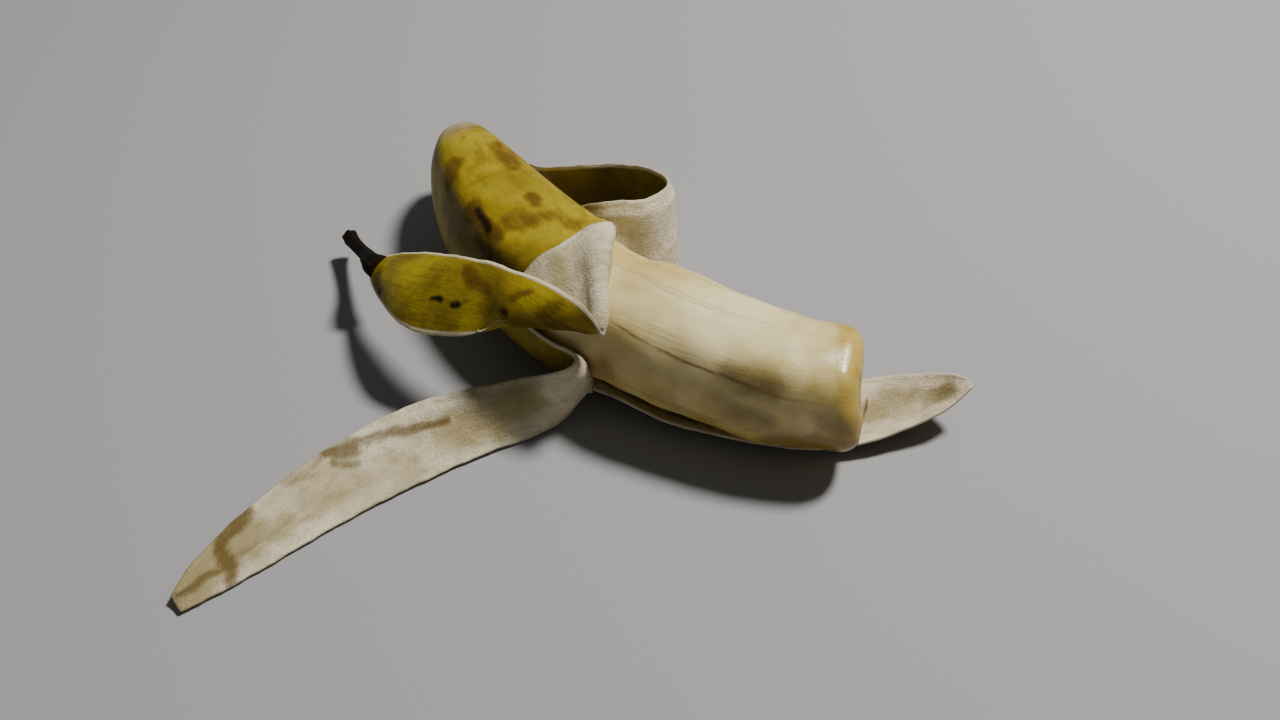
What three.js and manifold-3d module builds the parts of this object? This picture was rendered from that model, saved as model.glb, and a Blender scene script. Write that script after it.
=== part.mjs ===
// A half-peeled, bitten banana lying on its side, in millimetres, +Z up.
// The unpeeled end points to -X +Y, the bitten end of the flesh to +X -Y.
// Three pieces: the flesh, the peel (a closed cup and four torn strips, grown as one) and the stem.

import * as THREE from "three";
import { mergeVertices } from "three/addons/utils/BufferGeometryUtils.js";
import Module from "manifold-3d";

const wasm = await Module();
wasm.setup();

// ---- Driving dimensions ----

const SKIN_RADIUS = 18.3; // outside of the skin where the banana is thickest
const TAPER_LENGTH = 95; // stretch over which the unpeeled end narrows to its tip
const TAPER_POWER = 0.45; // below 0.5 the tip is blunter than an ellipse
const RIDGE_COUNT = 5;
const RIDGE_HEIGHT = 0.018; // of the radius
const RIDGE_ANGLE = 35; // degrees from the top to the first ridge
const PEEL_THICKNESS = 2.2;
const TORN_THICKNESS = 1.1; // at the torn edges of a strip
const TORN_BAND = 0.2; // part of a strip's half width over which it thins
const GAP = 0.3; // between two pieces that touch

const AXIS_HEIGHT = 18.4; // a little less than the radius, so the belly rests flat
const AXIS = [
  [-32.5, 82],
  [-28.5, 65],
  [-21.5, 48],
  [-12.5, 31.5],
  [-1, 15.5],
  [13.5, 2],
  [30.5, -9.5],
  [49, -17.8],
  [68, -22.5],
];
const FOOTPRINT_MIDDLE = [7.3, 6.4]; // becomes the origin

const FLESH_START = 2.6;
const FLESH_END = 153.5;
const BITE_ROUNDING = 5.5;
const BITE_HOLLOW = 1.2; // how far the bite dips in the middle
const BITE_TAPER = 1.9; // how much thinner the flesh is at the bite
const BITE_TAPER_START = 100;

// Where each tear between two strips ends: distance along the axis, degrees round it.
// Angles run from the top over the near side (-Y) and the belly to the far side.
const TEAR = {
  farTop: { s: 59, deg: -68 },
  nearTop: { s: 77, deg: 85 },
  nearBelly: { s: 94, deg: 134 },
  farBelly: { s: 71, deg: 222 },
};
const CUP_OVERLAP = 3; // how far a strip's root reaches into the cup
const ROOT_INSET = 0.5; // how far the root lies inside the cup's wall
const ROOT_THICKNESS = 1.2;

const ROUND = 36; // facets round the fruit
const SMOOTHING = 0.12; // slivers left by the joins are smoothed away up to this size
const COLUMNS = 9; // points across each strip
const UP = new THREE.Vector3(0, 0, 1);

// ---- The banana's axis and skin ----

const axis = new THREE.CatmullRomCurve3(
  AXIS.map(([x, y]) => new THREE.Vector3(x, y, AXIS_HEIGHT)),
  false,
  "catmullrom",
  0.5,
);
axis.arcLengthDivisions = 800;
const AXIS_LENGTH = axis.getLength();

const point = ([x, y, z]) => new THREE.Vector3(x, y, z);
const clamp01 = (t) => THREE.MathUtils.clamp(t, 0, 1);
const mix = THREE.MathUtils.lerp;

// The point at distance s along the axis, deg round it from the top and r out from it.
function around(s, deg, r) {
  const u = clamp01(s / AXIS_LENGTH);
  const along = axis.getTangentAt(u);
  const side = new THREE.Vector3().crossVectors(along, UP);
  const a = THREE.MathUtils.degToRad(deg);
  return axis
    .getPointAt(u)
    .addScaledVector(UP, r * Math.cos(a))
    .addScaledVector(side, r * Math.sin(a));
}

// Radius of the tapering body whose full radius is given, s from its tip.
function bodyRadius(s, full) {
  const left = clamp01(1 - s / TAPER_LENGTH);
  return full * (1 - left ** 2) ** TAPER_POWER;
}

// Rounded lengthwise ridges, as a factor on the radius.
function ridged(deg) {
  const a = THREE.MathUtils.degToRad(RIDGE_COUNT * (deg - RIDGE_ANGLE));
  return 1 + RIDGE_HEIGHT * Math.cos(a);
}

const skinPoint = (s, deg, lift = 0) =>
  around(s, deg, bodyRadius(s, SKIN_RADIUS) * ridged(deg) + lift);

function fleshRadius(s) {
  const inset = PEEL_THICKNESS + GAP;
  const bitten = clamp01((s - BITE_TAPER_START) / (FLESH_END - BITE_TAPER_START));
  const plain = bodyRadius(s - inset, SKIN_RADIUS - inset) - BITE_TAPER * bitten ** 2;
  const corner = clamp01(1 - (FLESH_END - s) / BITE_ROUNDING);
  return plain - BITE_ROUNDING * (1 - Math.sqrt(1 - corner ** 2));
}

// ---- Solids ----

function solidFrom(positions, triangles) {
  const mesh = { numProp: 3, vertProperties: positions, triVerts: new Uint32Array(triangles) };
  return new wasm.Manifold(new wasm.Mesh(mesh));
}

// A closed geometry as a solid, turned the right way round if its faces point inwards.
function toSolid(geometry) {
  geometry.deleteAttribute("normal");
  geometry.deleteAttribute("uv");
  const merged = mergeVertices(geometry, 1e-4);
  const positions = merged.attributes.position.array;
  const triangles = merged.index.array.slice();
  const solid = solidFrom(positions, triangles);
  if (solid.volume() > 0) return solid;
  for (let i = 0; i < triangles.length; i += 3) {
    [triangles[i + 1], triangles[i + 2]] = [triangles[i + 2], triangles[i + 1]];
  }
  return solidFrom(positions, triangles);
}

function toGeometry(solid) {
  const mesh = solid.getMesh();
  const geometry = new THREE.BufferGeometry();
  const places = new THREE.BufferAttribute(mesh.vertProperties.slice(), mesh.numProp);
  geometry.setAttribute("position", places);
  geometry.setIndex(new THREE.BufferAttribute(mesh.triVerts.slice(), 1));
  geometry.computeVertexNormals();
  return geometry;
}

// Moves every vertex of a geometry to where place(vertex) says.
function bent(geometry, place) {
  const p = geometry.attributes.position;
  const v = new THREE.Vector3();
  for (let i = 0; i < p.count; i += 1) {
    const moved = place(v.fromBufferAttribute(p, i));
    p.setXYZ(i, moved.x, moved.y, moved.z);
  }
  return toSolid(geometry);
}

// A cylinder bent along the fruit's axis: place(t, deg, out) has t from 0 to 1 along it.
function bentCylinder(lengthSteps, roundSteps, place) {
  const unit = new THREE.CylinderGeometry(1, 1, 1, roundSteps, lengthSteps);
  return bent(unit, (v) => {
    const out = Math.min(Math.hypot(v.x, v.z), 1);
    const deg = THREE.MathUtils.radToDeg(Math.atan2(v.x, v.z));
    return place(v.y + 0.5, deg, out);
  });
}

// ---- Flesh ----

// The flesh, or the room it takes up when grown by a gap all round.
function makeFlesh(grow) {
  const bite = 0.12; // part of the facets along it that go to the rounded bite
  const crowding = 1.15; // above 1, the facets crowd towards the tip
  return bentCylinder(30, ROUND, (t, deg, out) => {
    const plain = Math.min(t / (1 - bite), 1);
    const round = Math.max((t - 1 + bite) / bite, 0);
    const straight = mix(FLESH_START, FLESH_END - BITE_ROUNDING, plain ** crowding);
    const s = straight + BITE_ROUNDING * Math.sin((round * Math.PI) / 2);
    const isBiteMiddle = t > 0.999 && out < 0.5;
    const shift = grow * (2 * t - 1) - (isBiteMiddle ? BITE_HOLLOW : 0);
    return around(s + shift, deg, out * (fleshRadius(s) * ridged(deg) + grow));
  });
}

// ---- Peel: the cup ----

// The cup ends where the tears end, so its rim runs straight from tear to tear.
const RIM = [TEAR.farTop, TEAR.nearTop, TEAR.nearBelly, TEAR.farBelly];

function rimAt(deg) {
  const start = RIM[0].deg;
  const turn = start + THREE.MathUtils.euclideanModulo(deg - start, 360);
  const ends = [...RIM, { s: RIM[0].s, deg: start + 360 }];
  const i = ends.findIndex((e, k) => k > 0 && turn <= e.deg);
  const [a, b] = [ends[i - 1], ends[i]];
  return mix(a.s, b.s, (turn - a.deg) / (b.deg - a.deg));
}

// The cup before the flesh is taken out of it.
function makeCup() {
  const crowding = 1.4; // above 1, the facets crowd towards the tip
  return bentCylinder(18, ROUND, (t, deg, out) => {
    const s = t ** crowding * rimAt(deg);
    return around(s, deg, out * bodyRadius(s, SKIN_RADIUS) * ridged(deg));
  });
}

// ---- Peel: the strips ----

const fractions = Array.from({ length: COLUMNS }, (_, i) => i / (COLUMNS - 1));

// A row of points across a strip that still lies on the fruit.
function natural(a, b, lift = 0) {
  return fractions.map((t) => skinPoint(mix(a[0], b[0], t), mix(a[1], b[1], t), lift));
}

// A row from edge a to edge b that bulges by rise towards the direction out.
function arched(a, b, rise, out) {
  const across = new THREE.Vector3().subVectors(b, a);
  const bulge = point(out).projectOnPlane(across.clone().normalize()).normalize();
  return fractions.map((t) =>
    a.clone().addScaledVector(across, t).addScaledVector(bulge, rise * 4 * t * (1 - t)),
  );
}

const archedRow = ([a, b, rise, out]) => arched(point(a), point(b), rise, out);

// The top strip runs along the fruit, folds back over itself and then rolls over a long slanting
// crease, so that its skin shows again. It carries the stem. It is made as two sheets that meet
// at the crease. Rows: far edge, near edge, rise, direction.
const TOP_FOLD_BACK = [
  [[10, 14.5, 37.5], [9, -15, 29], 5.5, [0.1, -0.2, 1]],
  [[7, 12.5, 38.5], [8.5, -16, 30.5], 6, [0.1, -0.2, 1]],
];
// Rows: far edge, crease, near edge, rise of the lower sheet, rise of the upper sheet.
const TOP_ROLL = [
  [[3.5, 9.5, 38.5], [7, -15, 28.5], [7.5, -15, 33.5], 4, 0.3],
  [[0, 6.5, 38], [3, -12.5, 27.5], [3.5, -10.5, 35], 3, 0.6],
  [[-3.5, 4, 37.5], [-1.5, -11, 26.5], [-1.5, -7, 36], 3, 1],
  [[-7.5, 3, 35], [-6.5, -9.5, 25.5], [-6.5, -3.5, 36.5], 1.5, 1.6],
  [[-11.5, -1, 30], [-12, -8.5, 24.5], [-12, -0.5, 36], 0.5, 2.2],
  [[-17, -7, 24.4], [-17, -8.1, 23.5], [-17.5, 4.2, 34.8], 0, 2.6],
];
const TOP_FLAP = [
  [[-24, -7.6, 22.4], [-25, 9.7, 32], 2.8, [0, -0.6, 0.8]],
  [[-31, -5.5, 20.8], [-33, 16.2, 27.6], 3, [0, -0.6, 0.8]],
  [[-38.5, -0.9, 19.6], [-40, 22, 23.2], 3, [0, -0.6, 0.8]],
  [[-44.5, 8.2, 17.6], [-45, 26.3, 18.9], 2.4, [0, -0.6, 0.8]],
  [[-49, 18.4, 15], [-48, 27.3, 16.8], 1.4, [0, -0.6, 0.8]],
  [[-51, 25, 14.5], [-49, 27.5, 16.5], 0.5, [0, -0.6, 0.8]],
];

// The near strip folds down and back at once and lies along the surface, inner side up.
// Rows: upper edge, lower edge, rise, direction.
const NEAR_STRIP = [
  [[3, -13.5, 21], [4.5, -7, 6], 1, [0.8, -0.6, 0]],
  [[0.5, -16.5, 20], [2, -11, 3.5], -1, [0.6, 0.8, 0]],
  [[-4.5, -14, 16], [-1.5, -14.5, 1.5], -1.2, [0.4, 0.8, 0.2]],
  [[-11.5, -12.5, 12.5], [-7, -18, 0.5], -1.2, [0.2, 0.6, 0.6]],
  [[-20, -11.5, 9.5], [-15.5, -23, 0.5], -1.2, [0, 0.4, 0.9]],
  [[-31.5, -13, 7], [-26, -29, 0.5], -1.2, [0, 0.2, 1]],
  [[-44, -17.5, 4], [-36.5, -36.5, 0.5], -1.5, [0, 0, 1]],
  [[-55.5, -26, 2.5], [-47.5, -44.5, 0.5], -1.5, [0, 0, 1]],
  [[-64.5, -36.5, 2.2], [-56.5, -52.5, 0.5], -1.5, [0, 0, 1]],
  [[-72.5, -47.5, 2], [-65, -59.5, 0.5], -1.3, [0, 0, 1]],
  [[-78, -58.5, 2], [-72, -65.5, 0.5], -0.9, [0, 0, 1]],
  [[-80.5, -66.5, 1.8], [-78, -69.5, 0.6], -0.3, [0, 0, 1]],
];

// The belly strip is the trough under the flesh. It runs past the bite and its tip turns up.
// Rows: near edge, far edge, rise, direction.
const BELLY_STRIP = [
  [[13, -13, 6.5], [24.5, 4.5, 5.5], 6.1, [0, 0, -1]],
  [[22, -18, 5], [34, -1.5, 5], 5.3, [0, 0, -1]],
  [[32.5, -22, 4.5], [43, -4.5, 4.5], 4.9, [0, 0, -1]],
  [[43.5, -24.5, 4], [52.5, -5.5, 4.5], 4.6, [0, 0, -1]],
  [[55, -26, 3.5], [62, -5, 4.5], 4.3, [0, 0, -1]],
  [[67, -25.5, 4], [72.5, -4, 5], 4.4, [0, 0, -1]],
  [[77.5, -22.5, 5.5], [81, -4.5, 6.5], 4.4, [0, 0, -1]],
  [[87, -19, 8], [89, -6.5, 9], 3.5, [0, 0, -1]],
  [[93, -15.5, 10.5], [93, -9.5, 11.5], 1, [0, 0, -1]],
  [[95, -14, 12], [94.5, -11.5, 12], 0.3, [0, 0, -1]],
];

// The far strip stands on its edge and bends right round, so its skin is inside the loop.
// Its end leans on the unpeeled end. Rows: lower edge, upper edge, rise, direction.
const FAR_STRIP = [
  [[11.5, 21.5, 4.5], [5, 38.5, 26.5], 3, [0.6, 0.8, 0]],
  [[16, 27, 1], [11, 36, 27.5], 1.2, [0.3, 1, 0]],
  [[21.5, 30, 0], [17, 36, 28.5], 0.8, [0.3, 1, 0]],
  [[26, 35, -0.3], [22.5, 39, 28.5], 0.5, [-0.5, 0.6, 0]],
  [[27.5, 42, -0.3], [25.5, 44, 28.5], 0.4, [-1, 0, 0]],
  [[24, 49.5, -0.3], [21.5, 49.5, 28], 0.4, [-0.5, -1, 0]],
  [[15, 54, -0.3], [12.5, 53, 27.5], 0.6, [-0.2, -1, 0]],
  [[4, 56.5, 0], [2, 53.5, 26.5], 0.8, [0, -1, 0]],
  [[-5.5, 60, 1.5], [-4.5, 56, 24.5], 0.8, [0.2, -1, 0]],
  [[-9.5, 67.5, 2.5], [-9.5, 62, 20], 0.6, [0.8, -0.6, 0]],
  [[-12.5, 73, 5], [-13, 69.5, 16], 0.3, [0.8, -0.6, 0]],
];

const lowerSheetRow = ([far, crease, , rise]) => arched(point(far), point(crease), rise, [0, 0, 1]);
const upperSheetRow = ([, crease, near, , rise]) =>
  arched(point(crease), point(near), rise, [0, -0.6, 0.8]);

// A strip's root row, drawn back from the rim so that it overlaps the cup.
const rootRow = (a, b) =>
  natural([a.s - CUP_OVERLAP, a.deg], [b.s - CUP_OVERLAP, b.deg], -ROOT_INSET);

const STRIPS = {
  top: {
    lengthSteps: 26,
    widthSteps: 8,
    rows: [
      rootRow(TEAR.farTop, TEAR.nearTop),
      natural([68, -54], [83, 79]),
      natural([76, -38], [90, 71], 0.4),
      natural([82, -27], [96, 63], 1),
      ...TOP_FOLD_BACK.map(archedRow),
      ...TOP_ROLL.map(lowerSheetRow),
    ],
  },
  flap: {
    lengthSteps: 24,
    widthSteps: 8,
    rows: [...TOP_ROLL.map(upperSheetRow), ...TOP_FLAP.map(archedRow)],
  },
  near: {
    lengthSteps: 30,
    widthSteps: 6,
    rows: [
      rootRow(TEAR.nearTop, TEAR.nearBelly),
      natural([87, 86], [94.5, 136], 0.2),
      ...NEAR_STRIP.map(archedRow),
    ],
  },
  belly: {
    lengthSteps: 24,
    widthSteps: 8,
    rows: [
      rootRow(TEAR.nearBelly, TEAR.farBelly),
      natural([98, 137], [87, 224]),
      ...BELLY_STRIP.map(archedRow),
    ],
  },
  far: {
    lengthSteps: 30,
    widthSteps: 6,
    rows: [
      rootRow(TEAR.farBelly, { s: TEAR.farTop.s, deg: TEAR.farTop.deg + 360 }),
      ...FAR_STRIP.map(archedRow),
    ],
  },
};

// The smooth surface through a strip's rows: l from 0 to 1 along it, v from 0 to 1 across it.
function stripSurface(rows) {
  const lines = fractions.map(
    (_, column) => new THREE.CatmullRomCurve3(rows.map((row) => row[column]), false, "catmullrom"),
  );
  return (l, v) => {
    const across = lines.map((line) => line.getPoint(clamp01(l)));
    return new THREE.CatmullRomCurve3(across, false, "catmullrom").getPoint(clamp01(v));
  };
}

// It is thin inside the cup's wall and thins again towards its torn edges.
function stripThickness(l, v, rowCount) {
  const fromRoot = clamp01(l * (rowCount - 1));
  const fromEdge = clamp01((1 - Math.abs(2 * v - 1)) / TORN_BAND);
  const middle = mix(ROOT_THICKNESS, PEEL_THICKNESS, fromRoot);
  return mix(Math.min(TORN_THICKNESS, middle), middle, fromEdge);
}

// A slab of peel bent onto a strip's surface, its thickness on the fruit's side of the skin.
function makeStrip({ rows, lengthSteps, widthSteps }) {
  const surface = stripSurface(rows);
  const step = 0.002;
  const inwards = (l, v) => {
    const along = surface(l + step, v).sub(surface(l - step, v));
    const across = surface(l, v + step).sub(surface(l, v - step));
    return along.cross(across).normalize();
  };
  const slab = new THREE.BoxGeometry(1, 1, 1, lengthSteps, widthSteps, 1);
  return bent(slab, (p) => {
    const [l, v, depth] = [p.x + 0.5, p.y + 0.5, p.z + 0.5];
    const thickness = depth * stripThickness(l, v, rows.length);
    return surface(l, v).addScaledVector(inwards(l, v), thickness);
  });
}

// ---- Stem ----

const STEM_PATH = [
  [-48, 24, 17],
  [-50.5, 28, 15],
  [-53, 34, 12.5],
  [-56, 40, 10],
  [-59, 46, 7.8],
  [-60.5, 49.5, 6.5],
];
const STEM_RADIUS = [3, 2.7, 1.9, 1.6, 1.7, 2.2];

// The stem, or the room it takes up when grown by a gap all round.
function makeStem(grow) {
  const path = new THREE.CatmullRomCurve3(STEM_PATH.map(point), false, "catmullrom");
  return bentCylinder(10, 8, (t, deg, out) => {
    const along = path.getTangent(t);
    const side = new THREE.Vector3().crossVectors(along, UP).normalize();
    const top = new THREE.Vector3().crossVectors(side, along);
    const place = t * (STEM_RADIUS.length - 1);
    const i = Math.min(Math.floor(place), STEM_RADIUS.length - 2);
    const r = out * (mix(STEM_RADIUS[i], STEM_RADIUS[i + 1], place - i) + grow);
    const a = THREE.MathUtils.degToRad(deg);
    return path
      .getPoint(t)
      .addScaledVector(top, r * Math.cos(a))
      .addScaledVector(side, r * Math.sin(a));
  });
}

// ---- Assembly ----

const FLOOR_SIZE = 400;
const FLOOR_DEPTH = 20;

// What lies below the surface that the banana rests on, to be cut away.
function belowSurface() {
  const slab = new THREE.BoxGeometry(FLOOR_SIZE, FLOOR_SIZE, FLOOR_DEPTH);
  slab.translate(0, 0, -FLOOR_DEPTH / 2);
  return toSolid(slab);
}

// The outer shell alone, without crumbs or the bubbles that a fold can trap.
const largest = (solid) =>
  solid.decompose().reduce((best, piece) => (piece.volume() > best.volume() ? piece : best));

const flesh = makeFlesh(0);
const stem = makeStem(0);
const trimmed = Object.values(STRIPS)
  .map(makeStrip)
  .reduce((sum, strip) => sum.add(strip), makeCup())
  .subtract(makeFlesh(GAP))
  .subtract(makeStem(GAP))
  .subtract(belowSurface());
const peel = largest(toSolid(toGeometry(largest(trimmed.simplify(SMOOTHING)))));

// A solid as a named mesh with a material of its own.
function piece(name, solid, color, roughness) {
  const material = new THREE.MeshStandardMaterial({ color, roughness, metalness: 0 });
  const mesh = new THREE.Mesh(toGeometry(solid), material);
  mesh.name = name;
  return mesh;
}

const banana = new THREE.Group();
banana.name = "banana";
banana.add(
  piece("flesh", flesh, 0xd9cc9a, 0.45),
  piece("peel", peel, 0xb3a04a, 0.6),
  piece("stem", stem, 0x1a160e, 0.8),
);
banana.position.set(-FOOTPRINT_MIDDLE[0], -FOOTPRINT_MIDDLE[1], 0);

export default banana;
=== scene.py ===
"""A half-peeled, bitten banana lying on its side: flesh, peel and stem, as surfaces worked out with numpy.

Lengths in the shape tables are in millimetres, on the bench where the CAD part was drawn. The frame's
origin is the middle of the footprint, and everything handed to Blender is in metres in that frame.
"""

import math
from collections import namedtuple
from functools import cache

import bpy
import numpy as np
from bpy.props import FloatProperty, FloatVectorProperty, PointerProperty
from bpy.types import Operator, Panel, PropertyGroup
from mathutils import Euler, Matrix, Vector


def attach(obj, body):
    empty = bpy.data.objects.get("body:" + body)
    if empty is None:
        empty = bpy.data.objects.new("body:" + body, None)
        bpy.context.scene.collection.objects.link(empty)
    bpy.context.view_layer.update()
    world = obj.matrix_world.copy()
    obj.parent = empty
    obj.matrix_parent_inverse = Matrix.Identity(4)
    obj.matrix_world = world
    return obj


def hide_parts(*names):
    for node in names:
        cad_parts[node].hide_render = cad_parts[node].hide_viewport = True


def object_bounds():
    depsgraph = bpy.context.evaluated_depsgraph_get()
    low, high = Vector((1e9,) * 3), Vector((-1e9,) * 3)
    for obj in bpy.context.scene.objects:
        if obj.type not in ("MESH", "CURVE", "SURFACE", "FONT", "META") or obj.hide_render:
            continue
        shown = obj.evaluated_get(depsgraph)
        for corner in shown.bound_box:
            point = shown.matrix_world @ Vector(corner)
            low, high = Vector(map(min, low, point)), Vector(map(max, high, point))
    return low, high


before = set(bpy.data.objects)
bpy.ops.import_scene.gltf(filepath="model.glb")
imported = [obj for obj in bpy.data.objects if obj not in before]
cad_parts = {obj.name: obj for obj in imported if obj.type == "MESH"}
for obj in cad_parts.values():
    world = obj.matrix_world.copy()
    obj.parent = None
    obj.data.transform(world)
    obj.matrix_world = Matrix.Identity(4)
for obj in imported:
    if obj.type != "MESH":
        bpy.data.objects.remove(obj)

bl_info = {
    "name": "Half-peeled banana",
    "version": (1, 0, 0),
    "blender": (4, 5, 0),
    "location": "View3D > Sidebar > Banana",
    "description": "Builds a half-peeled, bitten banana lying on its side",
    "category": "Add Mesh",
}

CAD_BOX = [list(map(float, corner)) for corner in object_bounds()]

MM = 0.001
BENCH_ORIGIN = np.array((7.3, 6.4, 0.0))  # the frame's origin, in bench millimetres
UP = np.array((0.0, 0.0, 1.0))
UV_SPAN = 100.0  # millimetres to one unit of a UV map

# ---- The fruit, as in the CAD part ----

AXIS_HEIGHT = 18.4
AXIS = np.array([
    (-32.5, 82), (-28.5, 65), (-21.5, 48), (-12.5, 31.5), (-1, 15.5),
    (13.5, 2), (30.5, -9.5), (49, -17.8), (68, -22.5),
])
SKIN_RADIUS = 18.3
TAPER_LENGTH = 95.0  # stretch over which the unpeeled end narrows to its tip
TAPER_POWER = 0.45
RIDGE_COUNT = 5
RIDGE_ANGLE = 41.0  # degrees from the top to the ridge that shows most
GAP = 0.3  # between the flesh and the peel
FAR_AWAY = 99.0  # stands for any distance too great to matter

FLESH_START = 2.6
FLESH_END = 153.5
BITE_ROUNDING = 4.8
BITE_TAPER = 1.9
BITE_TAPER_START = 100.0

# Where each tear between two strips ends: distance along the axis, degrees round it from the top
# over the near side.
FAR_TOP = (50.0, -80.0)
NEAR_TOP = (77.0, 85.0)
NEAR_BELLY = (94.0, 134.0)
FAR_BELLY = (71.0, 222.0)
FAR_TOP_ROUND = (FAR_TOP[0], FAR_TOP[1] + 360.0)
ROOT_REACH = 9.0  # how far behind the tears a strip's first guiding row lies

# Each strip's free rows run across it: one edge, the other edge, how far the middle bulges, which way.
# Natural rows still lie on the fruit: distance and degrees of each edge, and how far the row has lifted.
TOP_NATURAL = [
    ((59, -68), (80, 82), 0.0),
    ((68, -54), (84, 78), 0.0),
    ((76, -38), (90, 71), 0.4),
    ((82, -27), (96, 63), 1.0),
]
# Where the top strip rolls over: far edge, crease, near edge, bulge of the sheet below, of the sheet above.
TOP_ROLL = [
    ((10, 14.5, 37.5), (9, -15, 29), (9, -15, 29), 4.5, 0),
    ((7, 12.5, 38.5), (8.5, -16, 30), (8.5, -16, 30), 3.5, 0),
    ((3.5, 9.5, 38.5), (7.2, -15.8, 28.6), (7.5, -15.9, 34), 1.5, 0.3),
    ((0, 6.5, 38), (3, -14, 28.2), (3.5, -11.5, 35.8), 0.5, 1.2),
    ((-3.5, 4, 37.5), (-1.5, -13, 27.7), (-1.5, -7.9, 36.8), 0.3, 1.8),
    ((-7.5, 3, 34.5), (-6.5, -12.2, 27.6), (-6.5, -3.7, 36.6), 0, 2.3),
    ((-11.5, -2, 30), (-12, -11, 26.6), (-12, 0.1, 35.6), 0, 2.6),
    ((-17, -7, 24.4), (-17, -8.1, 23.5), (-17.5, 4.2, 34.8), 0, 2.6),
]
# Past the roll it is one sheet: one edge, the other edge, bulge.
TOP_FLAP = [
    ((-24, -7.6, 22.4), (-25, 9.7, 32), 2.8),
    ((-31, -5.5, 20.8), (-33, 16.2, 27.6), 3),
    ((-38.5, -0.9, 19.6), (-40, 22, 23.2), 3),
    ((-44.5, 8.2, 17.6), (-45, 26.3, 18.9), 2.4),
    ((-49, 18.4, 15), (-48, 27.3, 16.8), 1.4),
    ((-51, 25, 14.5), (-49, 27.5, 16.5), 0.5),
]
TOP_ROWS = TOP_ROLL + [(low, low, high, 0, bulge) for low, high, bulge in TOP_FLAP]
TOP_OUTWARDS = np.array((0, -0.6, 0.8))  # the way in which the upper sheet bulges
NEAR_NATURAL = [((87, 86), (94.5, 136), 0.2)]
NEAR_ROWS = [
    ((3, -13.5, 21), (4.5, -7, 6), 1, (0.8, -0.6, 0)),
    ((0.5, -16.5, 20), (2, -11, 3.5), -1, (0.6, 0.8, 0)),
    ((-4.5, -14, 16), (-1.5, -14.5, 1.5), -1.2, (0.4, 0.8, 0.2)),
    ((-11.5, -12.5, 12.5), (-7, -18, 0.5), -1.2, (0.2, 0.6, 0.6)),
    ((-20, -11.5, 9.5), (-15.5, -23, 0.5), -1.2, (0, 0.4, 0.9)),
    ((-31.5, -13, 7), (-26, -29, 0.5), -1.2, (0, 0.2, 1)),
    ((-44, -17.5, 4), (-36.5, -36.5, 0.5), -1.5, (0, 0, 1)),
    ((-55.5, -26, 2.5), (-47.5, -44.5, 0.5), -1.5, (0, 0, 1)),
    ((-64.5, -36.5, 2.2), (-56.5, -52.5, 0.5), -1.5, (0, 0, 1)),
    ((-72.5, -47.5, 2), (-65, -59.5, 0.5), -1.3, (0, 0, 1)),
    ((-78, -58.5, 2), (-72, -65.5, 0.5), -0.9, (0, 0, 1)),
    ((-80.5, -66.5, 1.8), (-78, -69.5, 0.6), -0.3, (0, 0, 1)),
]
BELLY_NATURAL = [((98, 137), (87, 224), 0.0)]
BELLY_ROWS = [
    ((13, -13, 6.5), (24.5, 4.5, 5.5), 6.1, (0, 0, -1)),
    ((22, -18, 5), (34, -1.5, 5), 5.3, (0, 0, -1)),
    ((32.5, -22, 4.5), (43, -4.5, 4.5), 4.9, (0, 0, -1)),
    ((43.5, -24.5, 4), (52.5, -5.5, 4.5), 4.6, (0, 0, -1)),
    ((55, -26, 3.5), (62, -5, 4.5), 4.3, (0, 0, -1)),
    ((67, -25.5, 4), (72.5, -4, 5), 4.4, (0, 0, -1)),
    ((77.5, -22.5, 5.5), (81, -4.5, 6.5), 4.4, (0, 0, -1)),
    ((87, -19, 8), (89, -6.5, 9), 3.5, (0, 0, -1)),
    ((93, -15.5, 10.5), (93, -9.5, 11.5), 1, (0, 0, -1)),
    ((95, -14, 12), (94.5, -11.5, 12), 0.3, (0, 0, -1)),
]
FAR_ROWS = [
    ((11.5, 21.5, 4.5), (6.5, 37.8, 26.5), 2, (0.6, 0.8, 0)),
    ((16, 27, 1), (11, 36, 28.6), 1.2, (0.3, 1, 0)),
    ((21.5, 30, 0), (17, 36, 28.5), 0.8, (0.3, 1, 0)),
    ((25.2, 35, -0.3), (21.7, 39, 28.5), 0.5, (-0.5, 0.6, 0)),
    ((26.3, 42, -0.3), (24.3, 44, 28.5), 0.4, (-1, 0, 0)),
    ((23.2, 49.5, -0.3), (20.7, 49.5, 28), 0.4, (-0.5, -1, 0)),
    ((15, 54, -0.3), (12.5, 53, 27.5), 0.6, (-0.2, -1, 0)),
    ((4, 56.5, 0), (2, 53.5, 26.5), 0.8, (0, -1, 0)),
    ((-5.5, 60, 1.5), (-4.5, 56, 24.5), 0.8, (0.2, -1, 0)),
    ((-9.5, 67.5, 2.5), (-9.5, 62, 20), 0.6, (0.8, -0.6, 0)),
    ((-12.5, 73, 5), (-13, 69.5, 16), 0.3, (0.8, -0.6, 0)),
]

STEM_PATH = np.array([
    (-48, 24, 17), (-50.5, 28, 15), (-53, 34, 12.5), (-56, 40, 10), (-59, 46, 7.8), (-60.5, 49.5, 6.5),
])
STEM_RADIUS = np.array((3.0, 2.7, 1.9, 1.6, 1.7, 2.2))


# ---- Settings ----


def linear(*rgb):
    """An 8-bit display colour as the linear colour that Blender's sockets take."""
    return tuple(c / 12.92 if c <= 0.04045 else ((c + 0.055) / 1.055) ** 2.4 for c in np.array(rgb) / 255)


def colour(name, words, *rgb):
    """A colour setting whose default is an 8-bit display colour."""
    return FloatVectorProperty(
        name=name, description=words, subtype="COLOR", size=3, min=0, max=1, default=linear(*rgb),
    )


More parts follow.
